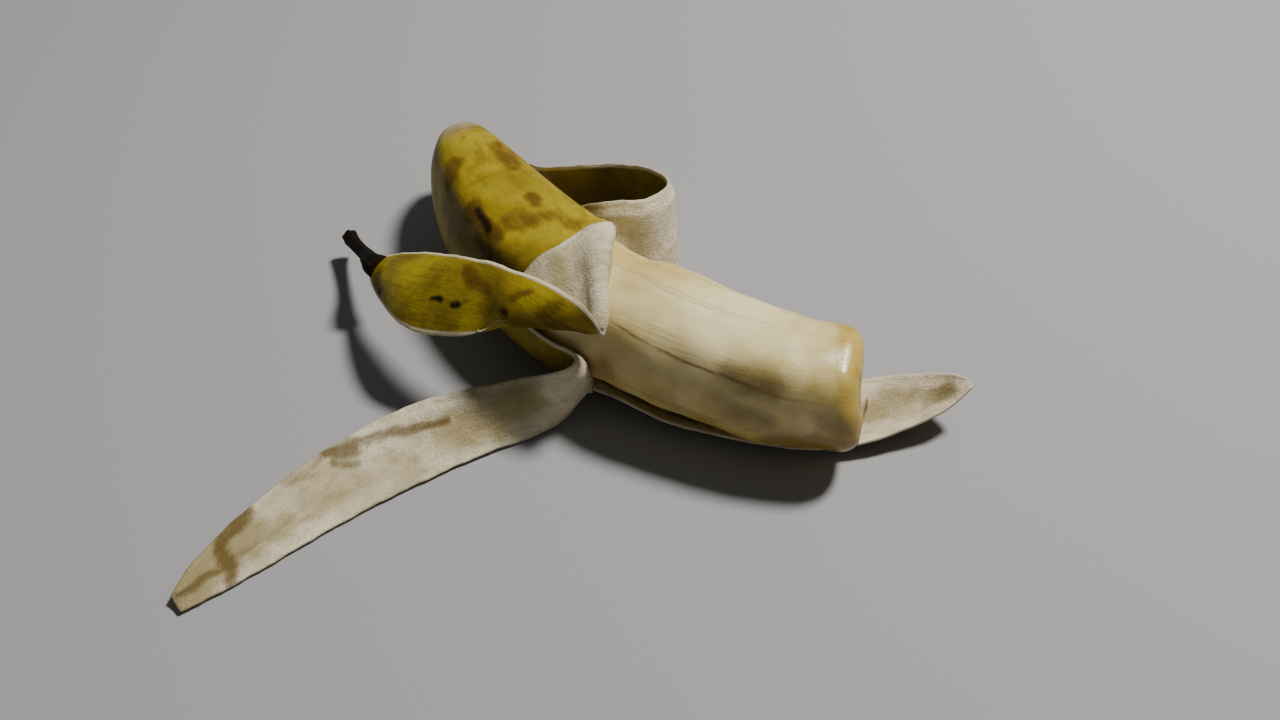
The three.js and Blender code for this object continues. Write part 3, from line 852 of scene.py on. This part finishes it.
SKIN_DARK = [
    ((-22, 27, 32), (-18.3, 19.5, 32.3), 2.3, 0.95),
    ((-18.3, 14.2, 28.3), (-18, 13.4, 28.3), 2.0, 1.0),
    ((-21, 19, 28), (-20.2, 16.8, 28), 2.2, 0.6),
    ((-29.6, 62.4, 29.6), (-29, 62, 30), 1.4, 0.7),
    ((-34, 2.3, 24.9), (-21, -3.6, 29), 1.1, 0.45),
    ((-31, 0.9, 26.1), (-28.7, -0.4, 26.9), 1.4, 0.9),
    ((-26.1, -1.9, 27.5), (-24.5, -2.6, 28), 1.5, 0.95),
    ((-13.5, -7.8, 30.8), (-13.2, -8.6, 29.9), 1.3, 0.85),
    ((-46, 13.4, 17.8), (-45.8, 12.8, 18), 2.0, 0.95),
    ((-32, 64, 20), (-31, 62, 16), 2.0, 0.7),
]
INNER_BROWN = [
    ((-27.5, -18.5, 5.4), (-38, -21, 4.3), 1.9, 0.95),
    ((-38, -21, 4.3), (-49.5, -23.8, 3.5), 3.2, 0.8),
    ((-55, -26.5, 3.1), (-48.5, -25.5, 3.3), 3.8, 1.0),
    ((-52, -29, 2.8), (-48, -29.5, 2.5), 2.8, 0.7),
    ((-56, -30, 2.8), (-62, -36, 2.6), 3.2, 0.55),
    ((-69.5, -44.5, 2.6), (-73, -50, 2.6), 3.8, 0.95),
    ((-73, -52, 2.4), (-70.5, -58.5, 1.8), 3.8, 0.95),
    ((-70.5, -56, 1.8), (-69, -62, 1.2), 2.8, 0.9),
    ((-79, -66.5, 2.1), (-72.5, -60, 1.9), 2.0, 0.85),
    ((-72.5, -60, 1.9), (-60, -46, 1.8), 1.8, 0.45),
    ((-22, -23, 3.6), (-14, -20, 5), 6.0, 0.3),
    ((84, -14, 8), (90, -12, 9), 4.0, 0.5),
    ((68, -14, 2), (76, -14, 3), 6.0, 0.35),
    ((22, 36, 22), (12, 33, 20), 5.0, 0.3),
]
# Greyer stretches of both sides: most are painted shade, where shade falls on the tail, the loop and the
# strips;
# those at the near strip's far end only darken that end.
SHADE_AND_GREYING = [
    ((-28, -21, 4.5), (-8, -15, 9), 9.0, 0.85),
    ((-52, -31, 2.5), (-58, -41, 2), 6.0, 0.5),
    ((-68, -50, 2), (-80, -66, 2), 11.0, 1.0),
    ((-60, -46, 2), (-70, -58, 2), 7.0, 0.8),
    ((-50, -38, 2), (-66, -55, 2), 5.0, 0.6),
    ((-34, -29, 2.5), (-46, -34, 2), 5.0, 0.45),
    ((68, -14, 2), (80, -10, 4), 7.0, 0.7),
    ((85, -12, 7), (90, -12, 9), 4.5, 0.8),
    ((4, 37, 24), (10, 33, 10), 8.0, 0.9),
    ((1, -7, 33), (-2, 1, 37), 5.0, 0.8),
    ((5, -9, 32), (4, -2, 37), 4.0, 0.5),
    ((-30, 38, 26), (-21, 15, 26), 9.0, 1.0),
    ((-36, 60, 18), (-32, 44, 18), 7.0, 0.6),
    ((-16, 10, 28), (-6, 8, 33), 6.0, 0.5),
    ((-12, -8, 27), (4, -13, 27), 5.0, 0.6),
    ((10, 50, 20), (0, 54, 12), 12.0, 0.8),
]


def on_skin(shape, s, deg, lift=0.0):
    """A point of the whole fruit's skin."""
    return around(s, deg, body_radius(s, SKIN_RADIUS) * ridged(deg, shape.ridge_height) + lift)


def natural_rows(shape, rows, columns):
    """Rows that still lie on the fruit, straight in distance and degrees from edge to edge."""
    v = np.linspace(0, 1, columns + 1)
    return [
        on_skin(shape, s0 + (s1 - s0) * v, deg0 + (deg1 - deg0) * v, lift)
        for (s0, deg0), (s1, deg1), lift in rows
    ]


def bulged(start, end, rise, out, v):
    """start + (end - start) v + rise 4 v (1 - v) along out made square to the row."""
    span = end - start
    flat = unit(span)
    bulge = unit(out - flat * np.sum(out * flat, -1, keepdims=True))
    return start + span * v + bulge * rise * 4 * v * (1 - v)


def bulged_rows(rows, columns):
    """Rows from edge to edge that bulge in the middle."""
    v = np.linspace(0, 1, columns + 1)[:, None]
    return [bulged(np.array(a), np.array(b), rise, np.array(out), v) for a, b, rise, out in rows]


def creased_rows(controls, columns):
    """Rows of the top strip: a sheet from the far edge to the crease, then one from there to the near edge.

    The two bulged sheets are laid end to end at even steps and averaged with their neighbours, which
    rounds the crease. The rows before the roll have no upper sheet and those after it no lower one.
    """
    far, crease, near = (controls[:, k:k + 3][:, None] for k in (0, 3, 6))
    rise_low, rise_high = controls[:, 9][:, None, None], controls[:, 10][:, None, None]
    low = np.linalg.norm(crease - far, axis=-1, keepdims=True)
    high = np.linalg.norm(near - crease, axis=-1, keepdims=True)
    split = np.clip(low / (low + high), 0, 1)
    fine = CREASE_FINENESS * columns
    reach = int(CREASE_ROUNDING * fine) + 1
    v = np.linspace(0, 1, fine + 1)[None, :, None]
    lower = bulged(far, crease, rise_low, UP, np.clip(v / np.maximum(split, 1e-6), 0, 1))
    past = np.clip((v - split) / np.maximum(1 - split, 1e-6), 0, 1)
    upper = bulged(crease, near, rise_high, TOP_OUTWARDS, past)
    rows = np.where(v < split, lower, upper)
    kernel = np.hanning(2 * reach + 3)[1:-1]
    kernel /= kernel.sum()
    before = 2 * rows[:, :1] - rows[:, reach:0:-1]
    after = 2 * rows[:, -1:] - rows[:, -2:-reach - 2:-1]
    padded = np.concatenate([before, rows, after], axis=1)
    rounded = sum(w * padded[:, k:k + fine + 1] for k, w in enumerate(kernel))
    return rounded[:, ::CREASE_FINENESS]


def relaxed(rows, hold):
    """Each inner point drawn towards the mean of its four neighbours, edges only along themselves.

    In each pass it goes half way there where hold is 1, and stays where hold is 0.
    """
    weight = 0.5 * hold[:, None, None]
    for _ in range(RELAX_PASSES):
        moved = rows.copy()
        moved[1:-1, 1:-1] = 0.25 * (rows[:-2, 1:-1] + rows[2:, 1:-1] + rows[1:-1, :-2] + rows[1:-1, 2:])
        moved[1:-1, [0, -1]] = 0.5 * (rows[:-2, [0, -1]] + rows[2:, [0, -1]])
        rows = rows + weight * (moved - rows)
    return rows


def evenly(rows, steps):
    """The rows taken again at even distances along their mean line."""
    middle = rows.mean(1)
    run = np.concatenate([[0], np.cumsum(np.linalg.norm(np.diff(middle, axis=0), axis=1))])
    places = np.interp(np.linspace(0, run[-1], steps + 1), run, np.arange(len(run)))
    return smooth_through(rows, places)


def wavering(rows, amount, seed):
    """The rows with each torn edge moved in and out along the row, less and less towards the middle."""
    count, columns = rows.shape[:2]
    distance = np.linspace(0, count, count)[:, None]
    v = np.linspace(0, 1, columns)
    low = waver(distance * WAVER_RATES[0], seed) * np.clip(1 - v / WAVER_REACH, 0, 1)
    high = waver(distance * WAVER_RATES[1], seed + 1) * np.clip(1 - (1 - v) / WAVER_REACH, 0, 1)
    across = unit(rows[:, -1:] - rows[:, :1])
    moved = amount * smoothstep(0, WAVER_ROWS, distance) * (low + high)
    return rows + across * moved[..., None]


def filled_in(rows, first, last, fineness):
    """The rows from first to last with others between them, so many to each step."""
    return smooth_through(rows, np.linspace(first, last, fineness * (last - first) + 1))


def strip_rows(shape, strip):
    """A strip's skin side from the tear line to its end, as even rows.

    One smooth surface runs through the rows on the fruit and the free ones. The top strip's free rows are
    filled in as edges and crease first, and bulged and creased after that.
    """
    columns = strip.columns
    behind = [(s - ROOT_REACH, deg) for s, deg in (strip.start, strip.end)]
    lines = natural_rows(shape, [(*behind, 0.0), (strip.start, strip.end, 0.0), *strip.natural], columns)
    if strip.free is TOP_ROWS:
        controls = np.array([[*far, *crease, *near, low, high] for far, crease, near, low, high in TOP_ROWS])
        last = lines[-1]
        bulge = np.linalg.norm(last[columns // 2] - 0.5 * (last[0] + last[-1]))
        guided = np.concatenate([[[*last[0], *last[-1], *last[-1], bulge, 0.0]], controls])
        dense = filled_in(guided, 1, len(guided) - 1, TOP_FINENESS)
        dense[:, 9:] = np.maximum(dense[:, 9:], 0)
        net = np.array([*lines, *creased_rows(controls[:2], columns)])
        joined = filled_in(net, 1, len(lines), TOP_FINENESS)
        rows = np.concatenate([joined[:-1], creased_rows(dense, columns)])
    else:
        net = np.array([*lines, *bulged_rows(strip.free, columns)])
        rows = filled_in(net, 1, len(net) - 1, ROW_FINENESS)
    rows = evenly(rows, strip.steps)
    rows = relaxed(rows, smoothstep(*RELAX_ROWS, np.arange(len(rows))))
    return wavering(rows, shape.torn_waver / MM, strip.seed)


def cup_surface(shape):
    """The closed end: rows from the tip to the tear line, s = t^crowding rim(deg), on the fruit's skin."""
    deg = np.concatenate([np.linspace(x.start[1], x.end[1], x.columns, endpoint=False) for x in STRIPS])
    tears = [FAR_TOP, *(strip.end for strip in STRIPS)]
    rim = np.interp(deg, [tear[1] for tear in tears], [tear[0] for tear in tears])
    t = np.linspace(0, 1, CUP_STEPS + 1)[1:, None]
    s = t**CUP_CROWDING * rim
    deg = deg + 0 * s
    span = math.radians(1) * SKIN_RADIUS
    near_tear = np.full_like(s, FAR_AWAY)
    for tear_s, tear_deg in tears:
        near_tear = np.minimum(near_tear, np.hypot(s - tear_s, (deg - tear_deg) * span))
    return on_skin(shape, s, deg), s, deg, near_tear


def peel_skin(shape):
    """The peel's whole skin side: points, quads, along, degrees and distance to the nearest torn edge."""
    cup, *measures = cup_surface(shape)
    index = 1 + np.arange(cup.shape[0] * cup.shape[1]).reshape(cup.shape[:2])
    quads = [grid_quads(np.concatenate([np.zeros_like(index[:1]), index]), closed=True)]
    points = [around([0.0], [0.0], [0.0]), cup.reshape(-1, 3)]
    kept = [[[at_tip], measure.ravel()] for at_tip, measure in zip((0.0, 0.0, FAR_AWAY), measures)]
    total, column = 1 + index.size, 0
    for strip in STRIPS:
        columns = strip.columns
        rows = strip_rows(shape, strip)[1:]
        rim = np.take(index[-1], np.arange(column, column + columns + 1), mode="wrap")
        new = total + np.arange(rows.shape[0] * (columns + 1)).reshape(rows.shape[0], columns + 1)
        quads.append(grid_quads(np.concatenate([rim[None], new])))
        (s0, deg0), (s1, deg1) = strip.start, strip.end
        v = np.linspace(0, 1, columns + 1)
        step = np.linalg.norm(np.diff(rows, axis=0), axis=-1)
        run = np.concatenate([np.zeros((1, columns + 1)), np.cumsum(step, axis=0)]) + step[:1]
        width = np.linalg.norm(np.diff(rows, axis=1), axis=-1).sum(1)[:, None]
        torn = np.minimum(np.minimum(v, 1 - v) * width, run[-1:] - run)
        points.append(rows.reshape(-1, 3))
        for parts, part in zip(kept, (run + s0 + (s1 - s0) * v, deg0 + (deg1 - deg0) * v + 0 * run, torn)):
            parts.append(part.ravel())
        total += new.size
        column += columns
    return np.concatenate(points), np.concatenate(quads), *(np.concatenate(parts) for parts in kept)


def build_peel(shape, material):
    """The peel as one closed shell.

    The inner side is the skin side moved inwards by a thickness that falls from the middle to the torn edges,
    and a rounded wall joins the two along every torn edge.
    """
    skin, quads, along, turned, torn = peel_skin(shape)
    quads = clean(quads)[:, ::-1]
    skin[:, 2] = np.maximum(skin[:, 2], 0.0)
    normal = corner_normals(skin, quads)
    normal[0] = -axis_direction(np.array([0.0]))[0]
    thin, thick = shape.torn_thickness / MM, shape.peel_thickness / MM
    thick = thick * (1 - FREE_THINNING * smoothstep(*FREE_SPAN, along))
    depth = (thin + (thick - thin) * smoothstep(0, TORN_BAND, torn))[:, None]
    inner = skin - normal * depth
    inner[:, 2] = np.maximum(inner[:, 2], INNER_LIFT)
    count = len(skin)
    edges = border_edges(quads)
    rim = np.unique(edges)
    a, b = edges.T
    outwards = np.zeros_like(skin)
    push = np.cross(skin[b] - skin[a], normal[a])
    np.add.at(outwards, a, push)
    np.add.at(outwards, b, push)
    wall = 0.5 * (skin + inner)[rim] + unit(outwards[rim]) * RIM_BULGE * depth[rim]
    wall[:, 2] = np.maximum(wall[:, 2], 0.0)
    number = np.zeros(count, int)
    number[rim] = 2 * count + np.arange(len(rim))
    upper = np.stack([b, a, number[a], number[b]], -1)
    lower = np.stack([number[b], number[a], a + count, b + count], -1)
    everything = np.concatenate([skin, inner, wall])
    faces = np.concatenate([quads, quads[:, ::-1] + count, upper, lower])
    along, turned, torn = (np.concatenate([x, x, x[rim]]) for x in (along, turned, torn))
    on_skin_side = np.arange(len(everything)) < count
    attributes = {
        "skin": on_skin_side,
        "along": along,
        "torn": torn,
        "brown": np.where(on_skin_side, stain_and_shade_amount(everything, SKIN_BROWN), stain_and_shade_amount(everything, INNER_BROWN)),
        "dark": np.where(on_skin_side, stain_and_shade_amount(everything, SKIN_DARK), 0),
        # painted shade on both sides, with some plain greying
        "shade_and_greying": stain_and_shade_amount(everything, SHADE_AND_GREYING),
    }
    uv = np.stack([along, turned * MM_PER_DEGREE], -1)
    return make_piece("banana_peel", everything, clean(faces), uv, attributes, material)


def peel_material(colours):
    """Blotched olive-yellow skin outside, pale fibrous peel inside, told apart by the skin attribute; both
    darkened by painted shade.
    """
    material, build, shader = new_material(
        "banana peel", Subsurface_Weight=0.06, Subsurface_Radius=(1.0, 0.8, 0.4), Subsurface_Scale=0.0015,
        Specular_IOR_Level=0.28, IOR=1.35,
    )
    place, lengthwise = build.places()
    along, torn, side = (build.attribute(name) for name in ("along", "torn", "skin"))
    browned, darkened, shade_and_greying_amount = (build.attribute(name) for name in ("brown", "dark", "shade_and_greying"))
    fibres = build.group(fibres_group, vector=lengthwise, fineness=1.0)
    drawn_out = build.scaled(lengthwise, (0.3, 1, 1))
    farther = build.scaled(lengthwise, (0.2, 1, 1))
    streaks = build.group(patches_group, vector=farther, scale=0.28, low=0.48, high=0.72)
    # Painted shade, with some plain greying: the marks' amount, frayed at the edge by noise.
    shade_and_greying_mask = build.group(blemish_and_shade_group, vector=place, amount=shade_and_greying_amount, scale=90.0, fray=0.7)

    olive, brown = colours.skin_olive, colours.skin_brown
    broad = build.group(patches_group, vector=place, scale=42.0, low=0.38, high=0.66)
    small = build.group(patches_group, vector=place, scale=135.0, low=0.42, high=0.72)
    tip = build.step(build.plus(along, build.times(small, 5.0)), 6.0, 20.0, 0.8, 0.0)
    patch = build.group(blemish_and_shade_group, vector=drawn_out, amount=browned, scale=0.5, fray=1.1)
    freckles = build.group(speckles_group, vector=place, scale=330.0, size=0.28, amount=0.45)
    spot = build.group(blemish_and_shade_group, vector=place, amount=darkened, scale=420.0, fray=0.7)
    pale_rim = build.step(torn, 0.25, 1.1, 0.75, 0.0)
    # Painted shade: the skin turns olive where the greying marks lie.
    skin = build.layered(
        colours.skin, (olive, broad, 0.75), (olive, shade_and_greying_mask, 0.75), (brown, small, 0.35),
        (brown, build.step(fibres, 0.5, 0.75, 0.0, 0.22)), (colours.skin_tip, tip), (olive, streaks, 0.45),
        (brown, patch, 0.85), (brown, freckles, 0.55), (colours.skin_dark, spot), (colours.inner, pale_rim),
    )

    grey, bruised = colours.inner_grey, colours.inner_brown
    cloud = build.group(patches_group, vector=place, scale=60.0, low=0.35, high=0.7)
    mottle = build.group(patches_group, vector=place, scale=420.0, low=0.42, high=0.72)
    flecks = build.group(speckles_group, vector=place, scale=260.0, size=0.3, amount=0.5)
    bruise = build.group(blemish_and_shade_group, vector=drawn_out, amount=browned, scale=0.6, fray=0.9)
    # Painted shade: the inside turns grey where the greying marks lie.
    inner = build.layered(
        colours.inner, (grey, cloud, 0.55), (grey, shade_and_greying_mask, 0.85), (grey, mottle, 0.4),
        (grey, build.step(fibres, 0.52, 0.72, 0.0, 0.3)), (bruised, flecks, 0.25), (grey, streaks, 0.3),
        (bruised, bruise, 0.82),
    )

    skin_sheen = build.blend(patch, build.blend(small, 0.48, 0.6), 0.66)
    sheen = build.blend(side, build.blend(mottle, 0.72, 0.85), skin_sheen)
    inner_height = build.plus(fibres, build.times(build.noise(place, 1500.0, 4.0, 0.7), 0.9))
    pores = build.noise(place, 700.0, 3.0, 0.6)
    skin_height = build.plus(build.times(fibres, 0.3), build.times(pores, 0.3))
    height = build.blend(side, inner_height, skin_height)
    finish_shader(build, shader, build.layered(inner, (skin, side)), sheen, height, 0.0005)
    return material


# ---- Stem ----

STEM_ROWS = 60
STEM_COLUMNS = 42
STEM_FACETS = 6
STEM_LENGTH = 30.0
CAP_STEPS = ((0.85, 0.25), (0.45, 0.3))  # the rounded ends: part of the radius, how far out


def build_stem(material):
    """A tube along the stem's path, closed at both ends.

    Its radius is r(t) (1 + 0.07 cos(6 a + 1.2 t) + 0.02 sin(11 a + 2) + 0.04 sin(9 t + 1)).
    """
    t = np.linspace(0, 1, STEM_ROWS)
    centre = smooth_through(STEM_PATH, t * (len(STEM_PATH) - 1))
    direction = unit(np.gradient(centre, axis=0))
    side = unit(np.cross(direction, UP))
    top = np.cross(side, direction)
    radius = np.interp(t, np.linspace(0, 1, len(STEM_RADIUS)), STEM_RADIUS)
    radius = np.convolve(np.pad(radius, 4, mode="edge"), np.ones(9) / 9, mode="valid")
    angle = np.linspace(0, 2 * math.pi, STEM_COLUMNS, endpoint=False)
    facet = np.cos(STEM_FACETS * angle[None, :] + 1.2 * t[:, None])
    grooves = 0.02 * np.sin(11 * angle + 2)[None, :]
    r = radius[:, None] * (1 + 0.07 * facet + grooves + 0.04 * np.sin(9 * t + 1)[:, None])
    ring = np.cos(angle)[None, :, None] * top[:, None] + np.sin(angle)[None, :, None] * side[:, None]
    walls = centre[:, None] + r[..., None] * ring
    first, last = (
        [centre[k] + (walls[k] - centre[k]) * part + way * push * direction[k] for part, push in CAP_STEPS]
        for k, way in ((0, -1), (-1, 1))
    )
    rows = np.concatenate([first[::-1], walls, last])
    ends = np.stack([rows[0].mean(0), rows[-1].mean(0)])
    count = rows.shape[0] * STEM_COLUMNS
    index = np.arange(count).reshape(rows.shape[:2])
    index = np.concatenate([np.full((1, STEM_COLUMNS), count), index, np.full((1, STEM_COLUMNS), count + 1)])
    quads = clean(grid_quads(index, closed=True)[:, ::-1])
    points = np.concatenate([rows.reshape(-1, 3), ends])
    along = np.concatenate([[-0.5, -0.3], t * STEM_LENGTH, [STEM_LENGTH + 0.3, STEM_LENGTH + 0.5]])[:, None]
    along = along + 0 * angle
    ridge = np.pad(facet, ((2, 2), (0, 0)), mode="edge")
    worn = np.where((along > STEM_LENGTH - 1) | (along < 0), 1.0, ridge * 0.5 + 0.2)
    uv = np.stack([along, angle * 2 + 0 * along], -1).reshape(-1, 2)
    uv = np.concatenate([uv, [[-0.5, 0], [STEM_LENGTH + 0.5, 0]]])
    attributes = {"worn": np.concatenate([worn.ravel(), [1.0, 1.0]])}
    return make_piece("banana_stem", points, quads, uv, attributes, material)


def stem_material(colours):
    """Dry black-brown stalk with fibres along it, browner on its worn edges and cut end."""
    material, build, shader = new_material("banana stem", Specular_IOR_Level=0.12)
    place, lengthwise = build.places()
    fibres = build.group(fibres_group, vector=lengthwise, fineness=1.6)
    flecks = build.group(patches_group, vector=place, scale=500.0, low=0.45, high=0.7)
    worn = build.times(build.attribute("worn"), build.step(fibres, 0.4, 0.65))
    tint = build.layered(colours.stem, (colours.stem_brown, flecks, 0.35), (colours.stem_brown, worn, 0.8))
    finish_shader(build, shader, tint, build.blend(fibres, 0.75, 0.95), fibres, 0.0006)
    return material


# ---- Stage ----

CAMERA_TARGET = Vector((0.0102, 0.0016, 0.0))
LENS = 38.0
SENSOR = 36.0
TO_KEY = Vector((0.5, 0.23, 1.0))
KEY_DISTANCE = 1.1
KEY_SIZE = 0.2
FLOOR_SIZE = 6.0
FLOOR_DROP = 0.0001  # how far the floor lies below the part


def add_floor(tint):
    """A plain matt floor just below the part."""
    half, low = FLOOR_SIZE / 2, CAD_BOX[0][2] - FLOOR_DROP
    mesh = bpy.data.meshes.new("floor")
    corners = [(-half, -half, low), (half, -half, low), (half, half, low), (-half, half, low)]
    mesh.from_pydata(corners, [], [(0, 1, 2, 3)])
    material = new_material("floor", Base_Color=(*tint, 1), Roughness=0.9, Specular_IOR_Level=0.2)[0]
    mesh.materials.append(material)
    floor = bpy.data.objects.new("floor", mesh)
    bpy.context.scene.collection.objects.link(floor)


def add_light(settings):
    """A soft key light from the upper right behind the part, and even fill from the surroundings."""
    lamp = bpy.data.lights.new("key", "AREA")
    lamp.shape = "DISK"
    lamp.size = KEY_SIZE
    lamp.energy = settings.key_power
    lamp.color = (1.0, 0.98, 0.94)
    key = bpy.data.objects.new("key", lamp)
    key.location = TO_KEY.normalized() * KEY_DISTANCE
    key.rotation_euler = (-key.location).to_track_quat("-Z", "Y").to_euler()
    bpy.context.scene.collection.objects.link(key)
    world = bpy.data.worlds.new("surroundings")
    world.use_nodes = True
    sky = next(node for node in world.node_tree.nodes if node.type == "BACKGROUND")
    sky.inputs["Color"].default_value = (0.92, 0.96, 1.0, 1)
    sky.inputs["Strength"].default_value = settings.fill_strength
    bpy.context.scene.world = world


def add_camera(settings):
    """The camera, in front of the part and looking down at it."""
    lens = bpy.data.cameras.new("camera")
    lens.lens = LENS
    lens.sensor_width = SENSOR
    lens.clip_start = 0.01
    camera = bpy.data.objects.new("camera", lens)
    tilt = settings.camera_elevation
    back = Vector((0, -math.cos(tilt), math.sin(tilt)))
    camera.location = CAMERA_TARGET + back * settings.camera_distance
    camera.rotation_euler = Euler((math.pi / 2 - tilt, 0, 0))
    bpy.context.scene.collection.objects.link(camera)
    bpy.context.scene.camera = camera


# ---- Add-on ----


class BANANA_OT_flesh(Operator):
    """Build the bare flesh with its bitten end"""

    bl_idname = "banana.flesh"
    bl_label = "Flesh"

    def execute(self, context):
        scene = context.scene
        piece = build_flesh(scene.banana_shape, flesh_material(scene.banana_colours))
        declare(piece, "flesh")
        return {"FINISHED"}


class BANANA_OT_peel(Operator):
    """Build the peel: the closed end and the four torn strips, as one shell"""

    bl_idname = "banana.peel"
    bl_label = "Peel"

    def execute(self, context):
        scene = context.scene
        piece = build_peel(scene.banana_shape, peel_material(scene.banana_colours))
        declare(piece, "peel")
        return {"FINISHED"}


class BANANA_OT_stem(Operator):
    """Build the dry stem on the end of the top strip"""

    bl_idname = "banana.stem"
    bl_label = "Stem"

    def execute(self, context):
        piece = build_stem(stem_material(context.scene.banana_colours))
        declare(piece, "stem")
        return {"FINISHED"}


class BANANA_OT_stage(Operator):
    """Build the floor, the light and the camera"""

    bl_idname = "banana.stage"
    bl_label = "Stage"

    def execute(self, context):
        settings = context.scene.banana_stage
        add_floor(settings.floor)
        add_light(settings)
        add_camera(settings)
        return {"FINISHED"}


class BANANA_PT_sidebar(Panel):
    """The banana's settings and the buttons that build its pieces"""

    bl_idname = "BANANA_PT_sidebar"
    bl_label = "Half-peeled banana"
    bl_space_type = "VIEW_3D"
    bl_region_type = "UI"
    bl_category = "Banana"

    def draw(self, context):
        for name in SETTINGS:
            settings = getattr(context.scene, name)
            box = self.layout.box()
            for key in settings.__annotations__:
                box.prop(settings, key)
        for operator in OPERATORS:
            self.layout.operator(operator.bl_idname)


SETTINGS = {"banana_shape": BananaShape, "banana_colours": BananaColours, "banana_stage": BananaStage}
OPERATORS = (BANANA_OT_stage, BANANA_OT_flesh, BANANA_OT_peel, BANANA_OT_stem)


def register():
    """Register the settings, operators and panel."""
    for name, group in SETTINGS.items():
        bpy.utils.register_class(group)
        setattr(bpy.types.Scene, name, PointerProperty(type=group))
    for item in (*OPERATORS, BANANA_PT_sidebar):
        bpy.utils.register_class(item)


def unregister():
    """Take the settings, operators and panel away again."""
    for item in (BANANA_PT_sidebar, *reversed(OPERATORS)):
        bpy.utils.unregister_class(item)
    for name, group in SETTINGS.items():
        delattr(bpy.types.Scene, name)
        bpy.utils.unregister_class(group)


def main():
    """Build everything, in order."""
    register()
    bpy.ops.banana.stage()
    bpy.ops.banana.flesh()
    bpy.ops.banana.peel()
    bpy.ops.banana.stem()
    bpy.context.view_layer.update()


if __name__ == "__main__":
    main()
